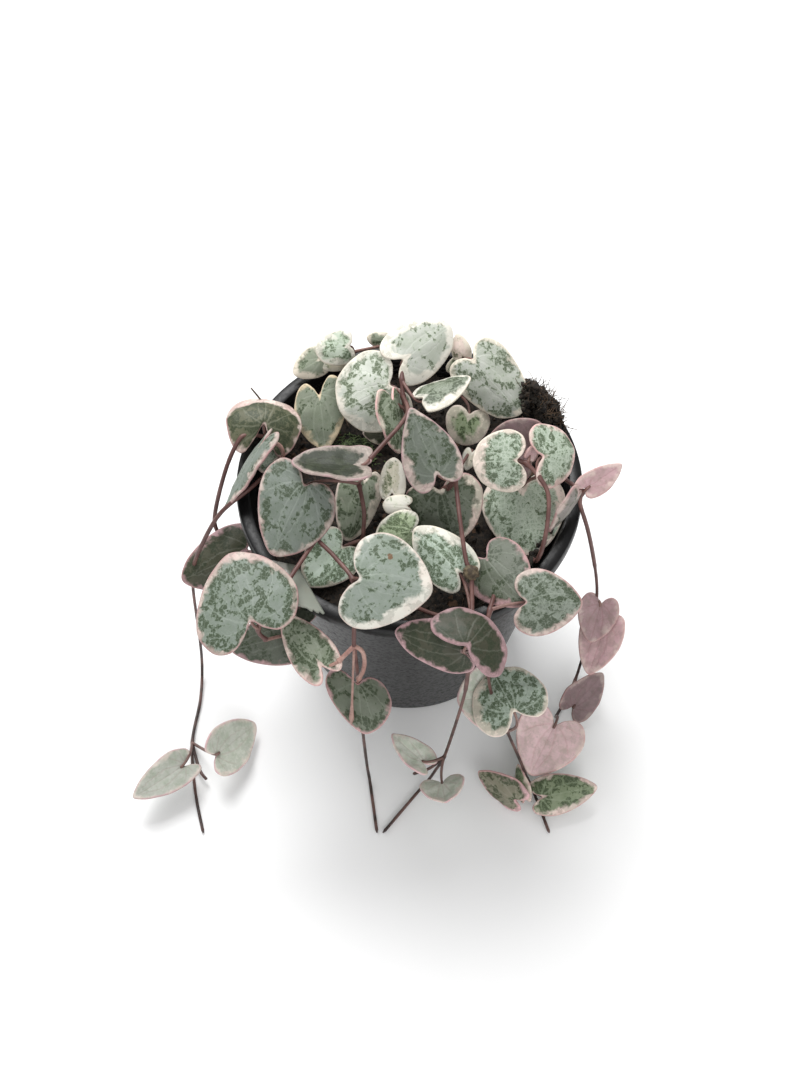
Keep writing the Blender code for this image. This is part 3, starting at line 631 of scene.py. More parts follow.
def blade_grid(one):
    """The places of a blade's corners on its flat plane, ring by ring outwards, and their depths."""
    edge = smooth_closed(outline(one), EDGE_STEPS)
    middle = Vector(BLADE_CENTRE)
    flat = []
    depth = []
    for ring in range(1, BLADE_RINGS + 1):
        share = math.sin(ring / BLADE_RINGS * math.pi / 2)
        flat += [middle + (point - middle) * share for point in edge]
        depth += [1 - share] * len(edge)
    return flat + [middle], depth + [1]


def corner_normals(corners, faces):
    normals = [Vector((0, 0, 0)) for _ in corners]
    for face in faces:
        a, b, c = (corners[corner] for corner in face[:3])
        for corner in face:
            normals[corner] += (b - a).cross(c - a)
    return [normal.normalized() for normal in normals]


def add_blade(growth, one, its_look, number):
    """A fleshy blade with a rounded edge and gentle swellings."""
    plane = leaf_plane(one)
    length = plane.length
    half = one.wide * length / 2
    flat, depth = blade_grid(one)
    count = len(flat)
    centre = count - 1
    rim = centre // BLADE_RINGS
    last = centre - rim
    surface = []
    for t, s in flat:
        spot = Vector((t * length, s * half, number * MM * 40))
        lift = plane.normal * (noise.noise(spot * SWELLINGS_PER_METRE) * SWELLING)
        surface.append(blade_point(one, plane, t, s) + lift)
    sheet = ring_faces(BLADE_RINGS, rim)
    sheet += [(centre, (i + 1) % rim, i) for i in range(rim)]
    upper = []
    lower = []
    for point, normal, deep in zip(surface, corner_normals(surface, sheet), depth):
        bulge = math.sqrt(1 - (1 - deep) ** 2)
        shift = normal * ((BLADE_RIM + (BLADE_MIDDLE - BLADE_RIM) * bulge) / 2)
        upper.append(point + shift)
        lower.append(point - shift)
    round_edge = []
    for i in range(last, last + rim):
        outward = (surface[i] - surface[i - rim]).normalized()
        round_edge.append(surface[i] + outward * (BLADE_RIM * EDGE_BULGE))
    faces = sheet + [tuple(corner + count for corner in reversed(face)) for face in sheet]
    side = 2 * count
    for i in range(rim):
        after = (i + 1) % rim
        faces.append((last + i, last + after, side + after, side + i))
        faces.append((side + i, side + after, last + after + count, last + i + count))

    band_width, bias, toward = its_look.band
    scar_t, scar_s, scar_reach = its_look.scar
    # tone is painted light and shade: the leaf's colours lighter where light falls, darker in shade
    root = math.sqrt(its_look.tone)
    tones = (its_look.tone, root, root, its_look.tone)
    tints = [with_painted_light(tint, tone) for tint, tone in zip(its_look[:4], tones)]
    rows = []
    for i, (t, s) in enumerate(flat):
        away = Vector(((t - BLADE_CENTRE[0]) * length, s * half))
        angle = math.atan2(away.y, away.x) if away.length else 0
        wider = bias * max(0, math.cos(angle - math.radians(toward))) * min(1, 2 * (1 - depth[i]))
        reach = (surface[last + i % rim] - surface[centre]).length / MM
        off_scar = math.hypot((t - scar_t) * length, (s - scar_s) * half) / MM
        rows.append((
            (t * length / MM, s * half / MM, number * PATTERN_STEP),
            (depth[i] * reach * 0.9, band_width + wider),
            (*its_look.marks, math.exp(-(off_scar / scar_reach) ** 2)),
        ))
    values = []
    for underside, chosen in ((0, range(count)), (1, range(count)), (0.5, range(last, last + rim))):
        for i in chosen:
            spot, edge, marks = rows[i]
            values.append((spot, (*edge, underside), marks, *tints))
    growth.add(upper + lower + round_edge, faces, LEAF, values)


def stalk_line(start, one):
    """The line of a leaf's stalk, which comes up to the blade from behind and below."""
    plane = leaf_plane(one)
    end = blade_point(one, plane, 0.1, 0) - plane.normal * (0.35 * MM)
    pull = 0.3 * (end - start).length + 1 * MM
    arrive = end - plane.along * pull * 0.8 - plane.normal * pull * 0.7
    leave = start + (arrive - start) * 0.25 + Vector((0, 0, 0.1 * pull))
    line = []
    for step in range(STALK_STEPS + 1):
        t = step / STALK_STEPS
        u = 1 - t
        line.append(start * u ** 3 + leave * (3 * u * u * t) + arrive * (3 * u * t * t) + end * t ** 3)
    return line


def settled(point):
    """A point of a stem's line, lowered where the stem lies on the floor."""
    near_floor = max(0, 1 - point.z / FLOOR_REACH)
    return Vector((point.x, point.y, max(point.z - SETTLING * near_floor, TRAIL_RADIUS)))


def stem_radii(line, knots):
    """The radius at each point of a stem, which swells at its knots and tapers off at its end."""
    radii = []
    for point in line:
        near = min([(point - knot).length for knot in knots] or [1])
        swell = KNOT_SWELL * math.exp(-(near / KNOT_REACH) ** 2)
        unevenness = 1 + 0.08 * noise.noise(point * 900)
        radius = STEM_RADIUS if point.z > TRAIL_HEIGHT else TRAIL_RADIUS
        radii.append(radius * (unevenness + swell))
    radii[-1] *= 0.5
    return radii


def add_bud(growth, start, bud):
    end = place(*bud.tip, bud.height)
    line = [start.lerp(end, k / 8) for k in range(12)]
    radii = [0.34 * MM + 0.45 * bud.radius * MM * math.exp(-((k - 10) / 1.2) ** 2) for k in range(12)]
    radii[-1] *= 0.2
    growth.add(*tube(line, radii, STALK_SIDES), STEM, paleness=BUD_PALENESS)


def add_tuber(growth, middle):
    """The knobbly little tuber on a stem."""
    directions, faces = ball(4)
    corners = []
    for direction in directions:
        knobs = 1 + 0.22 * noise.noise(direction * 2.6) + 0.12 * noise.noise(direction * 6)
        corners.append(middle + direction * (TUBER_RADIUS * knobs))
    growth.add(corners, faces, TUBER)


def make_strand(name, strand, materials):
    growth = Growth()
    for i, route in enumerate(strand.routes):
        line = [settled(point) for point in route_line(route, i in strand.rooted)]
        knots = [place(*route[one.at[1]]) for one in strand.leaves if one.at[0] == i]
        paleness = 1.0 if (name, i) in PALE_ROUTES else 0.0
        growth.add(*tube(line, stem_radii(line, knots), STEM_SIDES), STEM, paleness=paleness)
    for i, (one, its_look) in enumerate(zip(strand.leaves, strand.looks)):
        route, point = one.at
        start = settled(place(*strand.routes[route][point]))
        number = len(growth.corners) % 97 + i
        add_blade(growth, one, its_look, number)
        radii = [STALK_RADIUS * (1.15 - 0.3 * k / STALK_STEPS) for k in range(STALK_STEPS + 1)]
        radii[-1] *= 1.25
        paleness = 1.0 if (name, route) in PALE_ROUTES else STALK_PALENESS
        growth.add(*tube(stalk_line(start, one), radii, STALK_SIDES), STEM, paleness=paleness)
    for bud in strand.buds:
        add_bud(growth, place(*strand.routes[bud.at[0]][bud.at[1]]), bud)
    if TUBER_AT[0] == name:
        add_tuber(growth, place(*strand.routes[TUBER_AT[1]][TUBER_AT[2]]))
    made = growth.finish(name + "_growth", materials)
    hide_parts(name)
    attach(made, "root")


def capped_rings(rings, sides, first, last):
    """The corners and faces of a closed solid with a pole at both ends of its rings."""
    count = len(rings)
    faces = ring_faces(count // sides, sides)
    for side in range(sides):
        after = (side + 1) % sides
        faces.append((count, side, after))
        faces.append((count + 1, count - sides + after, count - sides + side))
    return rings + [first, last], faces


def wall_radius(height):
    """The pot wall's outer radius at a height."""
    top = RIM_RADIUS - LIP_WIDTH
    return BASE_RADIUS + (top - BASE_RADIUS) * height / POT_HEIGHT


def pot_profile():
    """The (radius, height) points of the pot's section, from under its base round to its floor."""
    lip = POT_HEIGHT - LIP_HEIGHT
    inside = RIM_RADIUS - LIP_WIDTH - WALL
    profile = [
        (BASE_RADIUS - 5 * MM, BASE_RECESS),
        (BASE_RADIUS - 4.4 * MM, 0),
        (BASE_RADIUS - 1.5 * MM, 0),
        (BASE_RADIUS - 0.5 * MM, 0.4 * MM),
        (BASE_RADIUS, 1.5 * MM),
        (wall_radius(lip), lip),
        (RIM_RADIUS - 0.9 * MM, lip + 0.1 * MM),
        (RIM_RADIUS - 0.2 * MM, lip + 0.4 * MM),
        (RIM_RADIUS, lip + 1.2 * MM),
        (RIM_RADIUS, POT_HEIGHT - 0.9 * MM),
        (RIM_RADIUS - 0.25 * MM, POT_HEIGHT - 0.3 * MM),
        (RIM_RADIUS - 0.8 * MM, POT_HEIGHT),
        (inside + 0.8 * MM, POT_HEIGHT),
        (inside + 0.3 * MM, POT_HEIGHT - 0.2 * MM),
        (inside, POT_HEIGHT - 0.8 * MM),
    ]
    high_rib = POT_HEIGHT - 2 * MM
    low_rib = SOIL_TOP - 4 * MM
    for rib in range(round((high_rib - low_rib) / RIB_PITCH)):
        top = high_rib - rib * RIB_PITCH
        wall = wall_radius(top) - WALL
        profile += [
            (wall, top),
            (wall - RIB_DEPTH, top - 0.3 * RIB_PITCH),
            (wall - RIB_DEPTH, top - 0.5 * RIB_PITCH),
            (wall, top - 0.8 * RIB_PITCH),
        ]
    floor_edge = BASE_RADIUS - WALL
    return profile + [(floor_edge, FLOOR + 1 * MM), (floor_edge - 1 * MM, FLOOR)]


def make_pot(material):
    angles = angles_round(POT_SIDES)
    rings = [turned(radius, angle, height) for radius, height in pot_profile() for angle in angles]
    solid = capped_rings(rings, POT_SIDES, turned(0, 0, BASE_RECESS), turned(0, 0, FLOOR))
    pot = new_object("nursery_pot", *solid, [material])
    face_outward(pot)
    cutters = Growth()
    for angle in [start + math.pi / DRAIN_HOLES for start in angles_round(DRAIN_HOLES)]:
        line = [turned(DRAIN_RING, angle, -3 * MM), turned(DRAIN_RING, angle, 5 * MM)]
        cutters.add(*tube(line, [DRAIN_RADIUS] * 2, DRAIN_SIDES))
    drill = new_object("pot_drill", cutters.corners, cutters.faces)
    face_outward(drill)
    cut = pot.modifiers.new("drain", "BOOLEAN")
    cut.operation = "DIFFERENCE"
    cut.object = drill
    cut.solver = "EXACT"
    apply_modifiers(pot)
    bpy.data.objects.remove(drill)
    pot.data.shade_smooth()
    pot.data.set_sharp_from_angle(angle=math.radians(35))
    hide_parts("pot")
    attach(pot, "root")


def soil_height(x, y):
    """The height of the soil's top, with its lumps, its mossy hump and the heap by the rim."""
    here = Vector((x, y, 0))
    lumps = noise.noise(here * 160) + 0.5 * noise.noise(here * 400)
    grain = 0.7 * noise.noise(here * 900) + 0.5 * noise.noise(here * 2000)
    heap = HEAP_HEIGHT * math.exp(-((here - HEAP_PLACE).length / HEAP_SPREAD) ** 2)
    moss = MOSS_HEIGHT * math.exp(-((here - MOSS_PLACE).length / MOSS_SPREAD) ** 2)
    return SOIL_TOP + SOIL_BUMP * (lumps + grain) + heap + moss


def soil_rim():
    """The radius that the soil's top reaches."""
    return wall_radius(SOIL_TOP) - WALL - RIB_DEPTH - SOIL_GAP


def make_soil(material):
    top = soil_rim()
    bottom = BASE_RADIUS - WALL - 1 * MM - SOIL_GAP
    foot = FLOOR + SOIL_GAP + 1 * MM
    angles = angles_round(SOIL_SIDES)
    rings = []
    for ring in range(SOIL_RINGS):
        for angle in angles:
            spot = turned(top * (ring + 1) / SOIL_RINGS, angle)
            spot.z = soil_height(spot.x, spot.y)
            rings.append(spot)
    for level in range(1, SOIL_LEVELS + 1):
        share = level / SOIL_LEVELS
        for angle in angles:
            dent = 0.3 * MM * (1 + noise.noise(turned(6, angle, level)))
            radius = top + (bottom - top) * share - dent
            rings.append(turned(radius, angle, SOIL_TOP + (foot - SOIL_TOP) * share))
    solid = capped_rings(rings, SOIL_SIDES, turned(0, 0, soil_height(0, 0)), turned(0, 0, FLOOR + SOIL_GAP))
    soil = new_object("soil_bed", *solid, [material])
    face_outward(soil)
    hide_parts("soil")
    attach(soil, "root")


def on_soil(chance, near=None, spread=0.0):
    """A random point on the soil's top, anywhere or round a place."""
    while True:
        if near is None:
            x = chance.uniform(-1, 1) * soil_rim()
            y = chance.uniform(-1, 1) * soil_rim()
        else:
            x = chance.gauss(near.x, spread)
            y = chance.gauss(near.y, spread)
        if math.hypot(x, y) < soil_rim() - 1 * MM:
            return Vector((x, y, soil_height(x, y)))


def on_heap(chance, spread):
    """A random point of the loose heap, which leans over the pot's rim."""
    x = chance.gauss(HEAP_PLACE.x + HEAP_LEAN, spread)
    y = chance.gauss(HEAP_PLACE.y + HEAP_LEAN * 0.4, spread)
    reach = math.hypot(x, y)
    furthest = RIM_RADIUS - 1.2 * MM
    if reach > furthest:
        x *= furthest / reach
        y *= furthest / reach
    carried = soil_height(x, y) if reach < soil_rim() else POT_HEIGHT
    away = (Vector((x, y, 0)) - HEAP_PLACE).length / HEAP_SPREAD
    return Vector((x, y, carried + chance.uniform(0, 1) * HEAP_LOOSE * math.exp(-away ** 2)))


def on_bank(chance):
    """A random point of the soil that is banked up against the right of the pot's wall."""
    angle = chance.uniform(*BANK_ANGLES)
    inward = chance.uniform(0, 1)
    spot = turned(soil_rim() - (0.5 * MM + inward * BANK_WIDTH), angle)
    low = soil_height(spot.x, spot.y)
    room = POT_HEIGHT - 0.5 * MM - low
    spot.z = low + room * (1 - inward) * chance.uniform(0.3, 1)
    return spot


def make_crumbs(material):
    """Loose crumbs of soil and bark, thick on the heap and scattered elsewhere."""
    chance = random.Random(5)
    growth = Growth()
    directions, faces = ball(2)
    for i in range(CRUMBS):
        if i < CRUMBS * HEAPED_CRUMBS:
            middle = on_heap(chance, HEAP_SPREAD * 0.55)
        elif i < CRUMBS * (HEAPED_CRUMBS + BANKED_CRUMBS):
            middle = on_bank(chance)
        else:
            middle = on_soil(chance)
        size = chance.uniform(0.25, 0.85) ** 1.5 * CRUMB_RADIUS
        long = chance.uniform(0.8, 2.2)
        spin = Matrix.Rotation(chance.uniform(0, math.tau), 3, "Z")
        corners = []
        for direction in directions:
            rough = 1 + 0.6 * noise.noise(direction * 2.1 + Vector((i, 0, 0)))
            local = direction * rough * size
            corners.append(middle + spin @ Vector((local.x * long, local.y, local.z * 0.8 + 0.2 * size)))
        growth.add(corners, faces)
    crumbs = new_object("soil_crumbs", growth.corners, growth.faces, [material])
    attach(crumbs, "root")


def wisp(start, heading, bend, length, steps):
    """The line of a thin strand that keeps on bending the same way, and stays inside the pot's wall."""
    line = []
    for _ in range(steps):
        line.append(start)
        heading = (heading + bend).normalized()
        start = start + heading * (length / steps)
        if math.hypot(start.x, start.y) > soil_rim() and start.z < POT_HEIGHT + 1 * MM:
            start = Vector((start.x * 0.96, start.y * 0.96, start.z))
    return line


def make_fibres(material):
    """Thin dry roots and peat fibres, most of them out of the heap by the rim."""
    chance = random.Random(11)
    growth = Growth()
    for i in range(FIBRES):
        heaped = i < FIBRES * HEAPED_FIBRES
        banked = not heaped and i % 3 == 0
        start = on_heap(chance, HEAP_SPREAD * 0.6) if heaped else on_soil(chance)
        if banked:
            start = on_bank(chance)
        rise = chance.uniform(0.2, 1.6) if heaped or banked else chance.uniform(0, 0.3)
        heading = Vector((chance.gauss(0.3 * heaped, 1), chance.gauss(0, 1), 0)).normalized()
        heading += Vector((0, 0, rise))
        bend = Vector((chance.gauss(0, 1), chance.gauss(0, 1), chance.gauss(0, 0.5) - 0.3))
        bend *= 0.09 if heaped else 0.16
        line = wisp(start, heading, bend, chance.uniform(2.5, 7) * MM, FIBRE_STEPS)
        radius = chance.uniform(0.06, 0.16) * MM
        growth.add(*tube(line, [radius * (1 - 0.6 * k / FIBRE_STEPS) for k in range(FIBRE_STEPS)], 4))
    twig = smooth([place(*point) for point in TWIG], 6)
    growth.add(*tube(twig, [TWIG_RADIUS * (1 - 0.5 * k / len(twig)) for k in range(len(twig))], 8))
    fibres = new_object("soil_fibres", growth.corners, growth.faces, [material])
    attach(fibres, "root")


def make_moss(material):
    """The curly tuft of moss on the soil."""
    chance = random.Random(23)
    growth = Growth()
    for _ in range(MOSS_STRANDS):
        start = on_soil(chance, MOSS_PLACE, MOSS_SPREAD * 0.55)
        heading = Vector((chance.gauss(0, 0.8), chance.gauss(0, 0.8), 1)).normalized()
        bend = Vector((chance.gauss(0, 1), chance.gauss(0, 1), -0.6)) * 0.7
        line = wisp(start, heading, bend, chance.uniform(1.8, 3.8) * MM, len(MOSS_RADII))
        growth.add(*tube(line, MOSS_RADII, 4))
    moss = new_object("moss_tuft", growth.corners, growth.faces, [material])
    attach(moss, "root")


def make_label(material):
    """The blank plastic label, slightly bowed, with a torn lower end."""
    corners = [place(*corner) for corner in LABEL_CORNERS]
    normal = (corners[1] - corners[0]).cross(corners[3] - corners[0]).normalized()
    chance = random.Random(3)
    torn = [chance.uniform(0, 1) for _ in range(LABEL_ROWS + 1)]
    surface = []
    sheet = []
    for column in range(LABEL_COLUMNS + 1):
        for row in range(LABEL_ROWS + 1):
            down = row / LABEL_ROWS
            along = column / LABEL_COLUMNS * (1 - 0.06 * torn[row])
            top = corners[0].lerp(corners[1], along)
            bottom = corners[3].lerp(corners[2], along)
            bow = normal * (LABEL_BOW * math.sin(math.pi * along) * (1 - down))
            surface.append(top.lerp(bottom, down) + bow)
            if column < LABEL_COLUMNS and row < LABEL_ROWS:
                low = column * (LABEL_ROWS + 1) + row
                high = low + LABEL_ROWS + 1
                sheet.append((low, low + 1, high + 1, high))
    label = new_object("blank_label", surface, sheet, [material])
    thick = label.modifiers.new("thickness", "SOLIDIFY")
    thick.thickness = LABEL_THICKNESS
    thick.offset = 0
    apply_modifiers(label)
    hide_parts("plant_label")
    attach(label, "root")


class Signal:
    """What comes out of a node. Arithmetic with signals adds nodes to their material."""

    def __init__(self, paint, socket):
        self.paint = paint
        self.socket = socket

    def math(self, operation, other=0.0):
        return self.paint.add("ShaderNodeMath", {0: self, 1: other}, operation=operation)

    def __add__(self, other):
        return self.math("ADD", other)

    def __sub__(self, other):
        return self.math("SUBTRACT", other)

    def __rsub__(self, other):
        return self.paint.add("ShaderNodeMath", {0: other, 1: self}, operation="SUBTRACT")

    def __mul__(self, other):
        return self.math("MULTIPLY", other)

    def ramp(self, low, high, to_low=0.0, to_high=1.0):
        """The value, smoothly mapped so that low becomes to_low and high becomes to_high."""
        inputs = {"Value": self, "From Min": low, "From Max": high, "To Min": to_low, "To Max": to_high}
        return self.paint.add("ShaderNodeMapRange", inputs, interpolation_type="SMOOTHSTEP")

    def parts(self):
        return [self.paint.add("ShaderNodeSeparateXYZ", {0: self}, output) for output in range(3)]

    def moved(self, offset):
        return self.paint.add("ShaderNodeVectorMath", {0: self, 1: offset}, operation="ADD")

    def scaled(self, factor):
        return self.paint.add("ShaderNodeVectorMath", {0: self, "Scale": factor}, operation="SCALE")

    def coated(self, share, tint, blend="MIX"):
        """This colour, with a share of another one over it."""
        return self.paint.mix(share, self, tint, blend)

    def tinted(self, tint):
        return self.coated(1.0, tint, "MULTIPLY")


class Paint:
    """Shorthand for building the nodes of one material."""

    def __init__(self, name, roughness, specular=0.5):
        self.material = bpy.data.materials.new(name)
        self.material.use_nodes = True
        self.tree = self.material.node_tree
        self.shader = self.tree.nodes["Principled BSDF"]
        self.feed(self.shader.inputs["Roughness"], roughness)
        self.feed(self.shader.inputs["Specular IOR Level"], specular)

    def feed(self, socket, value):
        if isinstance(value, Signal):
            self.tree.links.new(value.socket, socket)
        else:
            socket.default_value = value

    def add(self, kind, inputs, output=0, **settings):
        node = self.tree.nodes.new(kind)
        for name, value in settings.items():
            setattr(node, name, value)
        for name, value in inputs.items():
            self.feed(node.inputs[name], value)
        return Signal(self, node.outputs[output])

    def value(self, name):
        return self.add("ShaderNodeAttribute", {}, "Vector", attribute_name=name)

    def spot(self):
        """The place on the object, in metres."""
        return self.add("ShaderNodeTexCoord", {}, "Object")

    def noise(self, vector, scale, detail=2.0, roughness=0.5, distortion=0.0, output="Fac"):
        inputs = {"Vector": vector, "Scale": scale, "Detail": detail, "Roughness": roughness}
        inputs["Distortion"] = distortion
        return self.add("ShaderNodeTexNoise", inputs, output)

    def cells(self, vector, scale, feature="DISTANCE_TO_EDGE", output="Distance"):
        return self.add("ShaderNodeTexVoronoi", {"Vector": vector, "Scale": scale}, output, feature=feature)

    def mix(self, share, first, second, blend="MIX"):
        first, second = ((*tint, 1) if isinstance(tint, tuple) else tint for tint in (first, second))
        inputs = {0: share, 6: first, 7: second}
        return self.add("ShaderNodeMix", inputs, 2, data_type="RGBA", blend_type=blend)

    def finish(self, base, height, strength, depth):
        """The material, with its colour and the height of its fine relief."""
        inputs = {"Strength": strength, "Distance": depth, "Height": height}
        self.feed(self.shader.inputs["Base Color"], base)
        self.feed(self.shader.inputs["Normal"], self.add("ShaderNodeBump", inputs))
        return self.material


def leaf_material():
    """Silver marbling between pale veins, dark green marks in clusters, a pale band and a pink edge."""
    paint = Paint("variegated_leaf", 0.5, 0.35)
    spot = paint.value("leaf_place")
    along, sideways = spot.parts()[:2]
    inset, width, under = paint.value("leaf_edge").parts()
    speckle, silver, scar = paint.value("leaf_marks").parts()
    ground, margin, edge_tint, below = [paint.value(name) for name in LEAF_VALUES[3:]]
    loose = spot.moved(paint.noise(spot, 0.7, 3.0, output="Color").scaled(1.5))

    # The main veins fan out from the notch and curve towards the tip
    forward = along - 0.3
    reach = (forward * forward + sideways * sideways).math("SQRT")
    turn = sideways.math("ARCTAN2", forward).math("ABSOLUTE")
    bent = turn + reach * 0.03 + paint.noise(spot, 0.7, 3.0) * 0.16
    off_vein = bent.math("PINGPONG", VEIN_ANGLE / 2) * reach
    vein = off_vein.ramp(0.42, 0.04) * inset.ramp(0.4, 3.0)
    midrib = sideways.math("ABSOLUTE").ramp(0.26, 0.06) * inset.ramp(0.2, 1.5)
    ribs = vein.math("MAXIMUM", midrib)

    # Dark marks in clusters that are thickest near the edge, broken up by thin pale seams
    seam = paint.cells(loose, 0.8).ramp(0.08, 0.02)
    groups = paint.noise(spot.moved((31.0, 7.0, 0.0)), 0.27, 2.0, 0.5, 0.6)
    level = groups + inset.ramp(5.0, 1.0, 0.0, 0.08) + speckle * 0.26
    cluster = level.ramp(0.58, 0.84)
    grain = paint.noise(spot, 1.0, 3.0, 0.55, 0.4)
    thick = grain + cluster * 0.3
    mark = thick.ramp(0.665, 0.72)
    halo = thick.ramp(0.56, 0.7)
    dark = mark * (1 - seam * 0.5) * (1 - ribs * 0.7)

    # The upper face, from its ground to its marks. Silvery leaves have a lace of pale seams
    broad = paint.noise(spot, 0.2, 2.0)
    paler = paint.mix(0.3, ground.tinted((1.4, 1.4, 1.38)), SILVER_VEIN)
    lace = paint.cells(loose, 0.66).ramp(0.15, 0.03)
    lace = lace.math("MAXIMUM", paint.cells(loose, 1.35).ramp(0.17, 0.03, 0.0, 0.75))
    laced = silver.ramp(0.75, 1.0)
    upper = ground.tinted((0.84, 0.87, 0.82)).coated(broad.ramp(0.35, 0.65), ground)
    upper = upper.coated(halo * 0.6, ground.tinted((0.62, 0.72, 0.56)))
    upper = upper.coated(seam * silver * cluster.ramp(0.0, 0.6, 0.12, 0.4), paler)
    upper = upper.coated(laced * 0.75, upper.tinted((0.62, 0.68, 0.62)))
    upper = upper.coated(lace * laced * 0.6, paler)
    upper = upper.coated(ribs * 0.2, paler)
    upper = upper.coated(dark * 0.88, ground.tinted((0.2, 0.25, 0.16)).coated(0.35, SPECKLE_GREEN))
    upper = upper.coated((scar + grain * 0.6).ramp(0.75, 0.95, 0.0, 0.9), SCAR_BROWN)

    # The pale band's inner side is ragged and soft, and green flecks stand in it
    ragged = paint.noise(spot, 0.3, 3.0, 0.55, 0.4)
    band = (width - (inset + (ragged - 0.5) * 6.0)).ramp(-0.9, 0.6) * (1 - mark * 0.25)
    rim = inset.ramp(0.5, 0.05) * ragged.ramp(0.4, 0.55, 0.15, 1.0)
    upper = upper.coated(band * 0.95, margin.coated(broad.ramp(0.4, 0.7, 0.0, 0.5), edge_tint))
    upper = upper.coated(rim * 0.85, edge_tint)

    # The underside is plainer, with faint veins and blotches
    blotch = paint.noise(spot, 0.45, 4.0, 0.6).ramp(0.35, 0.7, 0.0, 0.7)
    lower = below.coated(blotch, below.tinted((0.7, 0.78, 0.68)))
    lower = lower.coated(mark * speckle.ramp(0.4, 1.0, 0.0, 0.8), below.tinted((0.4, 0.46, 0.36)))
    lower = lower.coated(ribs * 0.35, below.tinted((0.74, 0.6, 0.6)))
    lower = lower.coated(band * 0.6, margin)
    lower = lower.coated(rim * 0.7, edge_tint)
    base = upper.coated(under.ramp(0.55, 0.95), lower)
    return paint.finish(base, seam * 0.15 + grain * 0.6 - ribs * 0.55, 0.5, 0.16 * MM)


def stem_material():
    """Red-brown skin, darker the lower it is towards the floor, with fine streaks."""
    paint = Paint("stem_skin", 0.5)
    spot = paint.spot()
    patch = paint.noise(spot, 160.0, 3.0)
    grain = paint.noise(spot, 1400.0, 3.0, 0.6)
    low = paint.mix(spot.parts()[2].ramp(10 * MM, 85 * MM), colour(38, 29, 26), colour(88, 57, 53))
    pink = low.coated(patch.ramp(0.42, 0.7), low.coated(0.5, colour(140, 104, 96)))
    young = paint.mix(patch.ramp(0.4, 0.65), colour(158, 118, 108), colour(180, 146, 134))
    skin = pink.coated(paint.value("leaf_marks").parts()[0], young)
    base = skin.coated(grain.ramp(0.3, 0.75, 0.0, 0.4), colour(84, 52, 47))
    return paint.finish(base, grain, 0.3, 0.1 * MM)


def tuber_material():
    paint = Paint("tuber_skin", 0.8)
    spot = paint.spot()
    knobs = paint.noise(spot, 700.0, 4.0, 0.6)
    base = paint.mix(knobs.ramp(0.35, 0.7), colour(62, 52, 40), colour(108, 95, 72))
    base = base.coated(paint.cells(spot, 900.0, "F1").ramp(0.2, 0.6, 0.3, 0.0), colour(48, 40, 30))
    return paint.finish(base, knobs, 0.6, 0.3 * MM)


def soil_material():
    paint = Paint("dark_peat", 0.92)
    spot = paint.spot()
    crumb = paint.noise(spot, 900.0, 5.0, 0.65)
    clods = paint.noise(spot, 220.0, 3.0)
    bits = paint.cells(spot, 700.0, "F1", "Color").parts()[0]
    base = paint.mix(crumb.ramp(0.38, 0.64), colour(13, 11, 9), colour(50, 40, 31))
    base = base.coated(clods.ramp(0.5, 0.7, 0.0, 0.8), colour(36, 31, 23))
    base = base.coated(bits.ramp(0.93, 0.96, 0.0, 0.75), colour(88, 64, 46))
    return paint.finish(base, crumb, 0.9, 0.6 * MM)


def fibrous_material(name, patches, grains, dark, light):
    """Two tones in patches, with a fine grain. patches is the noise's (scale, detail)."""
    paint = Paint(name, 0.85)
    spot = paint.spot()
    base = paint.mix(paint.noise(spot, *patches).ramp(0.35, 0.65), dark, light)
    return paint.finish(base, paint.noise(spot, grains, 2.0), 0.4, 0.1 * MM)


def pot_material():
    """Glossy black plastic with faint flow marks and dust."""
    paint = Paint("black_plastic", 0.3, 0.24)
    spot = paint.spot()
    flow = paint.noise(spot, 60.0, 3.0, 0.6, 1.5)
    dust = paint.noise(spot, 900.0, 4.0, 0.7)
    base = paint.mix(flow.ramp(0.35, 0.7), colour(14, 14, 15), colour(24, 24, 25))
    base = base.coated(dust.ramp(0.62, 0.85, 0.0, 0.25), colour(60, 54, 48))
    paint.feed(paint.shader.inputs["Roughness"], dust.ramp(0.4, 0.8, 0.32, 0.6))
    return paint.finish(base, flow, 0.1, 0.3 * MM)


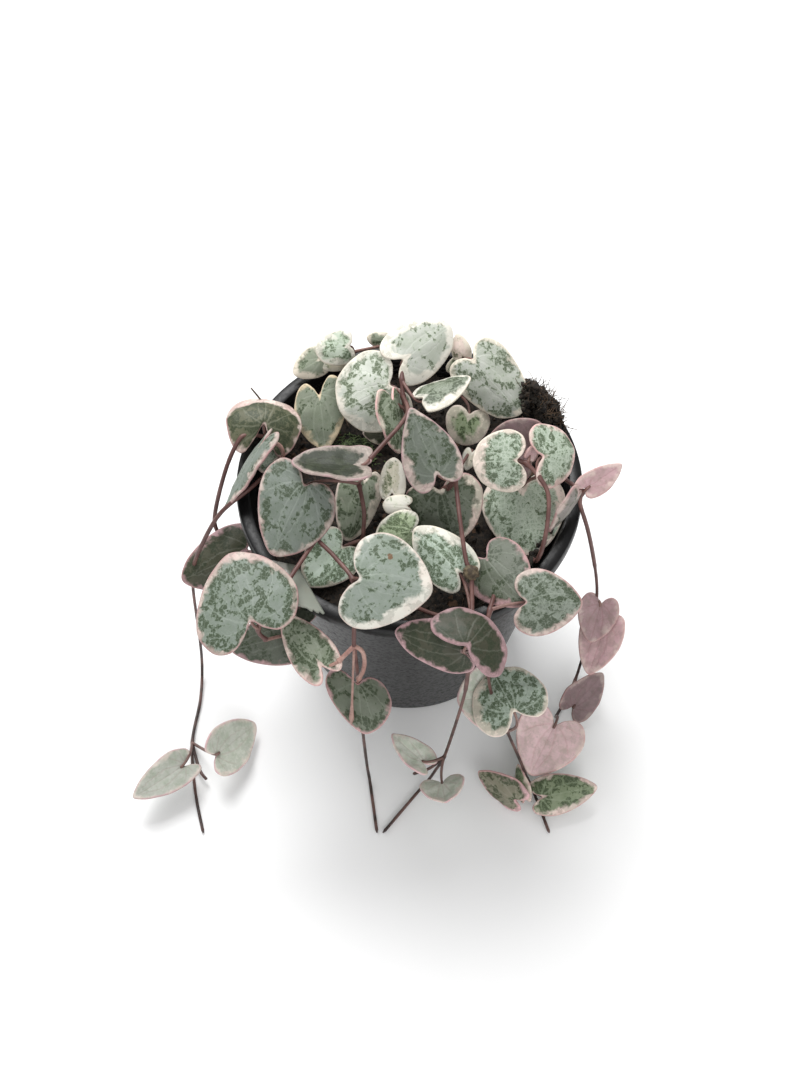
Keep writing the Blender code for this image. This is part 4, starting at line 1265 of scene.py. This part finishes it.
def label_material():
    """White plastic with stains, and painted shade: greyer towards its lower long side, the face in shade.
    """
    paint = Paint("label_plastic", 0.42)
    spot = paint.spot()
    corners = [place(*corner) for corner in LABEL_CORNERS]
    side = corners[3] - corners[0]
    inputs = {0: spot.moved(tuple(-corners[0])), 1: tuple(side / side.length ** 2)}
    across = paint.add("ShaderNodeVectorMath", inputs, "Value", operation="DOT_PRODUCT")
    # Painted shade: the label's lower part is greyed as the face that lies in shade
    base = paint.mix(across.ramp(0.55, 0.68), colour(214, 213, 207), colour(126, 130, 120))
    stain = paint.noise(spot, 240.0, 4.0, 0.6).ramp(0.5, 0.75, 0.0, 0.7)
    base = base.coated(stain, colour(132, 128, 116))
    return paint.finish(base, paint.noise(spot, 3000.0, 2.0), 0.1, 0.1 * MM)


def floor_material():
    paint = Paint("pale_floor", 0.85)
    tone = paint.noise(paint.spot(), 4.0, 3.0)
    base = paint.mix(tone, (0.88, 0.88, 0.88), (0.92, 0.92, 0.92))
    paint.feed(paint.shader.inputs["Base Color"], base)
    return paint.material


def make_floor():
    corners = [(x * FLOOR_SIDE / 2, y * FLOOR_SIDE / 2, FLOOR_DROP) for x, y in
               ((-1, -1), (1, -1), (1, 1), (-1, 1))]
    floor = new_object("floor", corners, [(0, 1, 2, 3)], [floor_material()])


def hold(name, data, spot, facing):
    """An object for a light or a camera, looking along a direction."""
    holder = bpy.data.objects.new(name, data)
    holder.location = spot
    holder.rotation_euler = facing.to_track_quat("-Z", "Y").to_euler()
    bpy.context.scene.collection.objects.link(holder)
    return holder


def make_studio():
    for name, (spot, power, size) in LIGHTS.items():
        light = bpy.data.lights.new(name, "AREA")
        light.energy = power
        light.size = size
        hold(name, light, spot, VIEW_AIM - Vector(spot))
    world = bpy.data.worlds.new("studio")
    bpy.context.scene.world = world
    world.use_nodes = True
    sky = world.node_tree.nodes["Background"]
    sky.inputs["Color"].default_value = (1, 1, 1, 1)
    sky.inputs["Strength"].default_value = SKY_STRENGTH
    camera = bpy.data.cameras.new("camera")
    camera.lens = LENS
    camera.sensor_width = SENSOR
    camera.clip_start = 0.01
    bpy.context.scene.camera = hold("camera", camera, EYE, FORWARD)
    bpy.context.scene.view_settings.view_transform = "Standard"


make_floor()
make_studio()
make_pot(pot_material())
make_soil(soil_material())
make_crumbs(soil_material())
make_fibres(fibrous_material("dry_fibre", (180.0, 2.0), 2500.0, colour(46, 34, 26), colour(96, 76, 56)))
make_moss(fibrous_material("moss_green", (500.0, 3.0), 3000.0, colour(48, 60, 36), colour(96, 112, 70)))
make_label(label_material())
GROWTH_MATERIALS = [leaf_material(), stem_material(), tuber_material()]
for strand_name, strand_values in STRANDS.items():
    make_strand(strand_name, strand_values, GROWTH_MATERIALS)
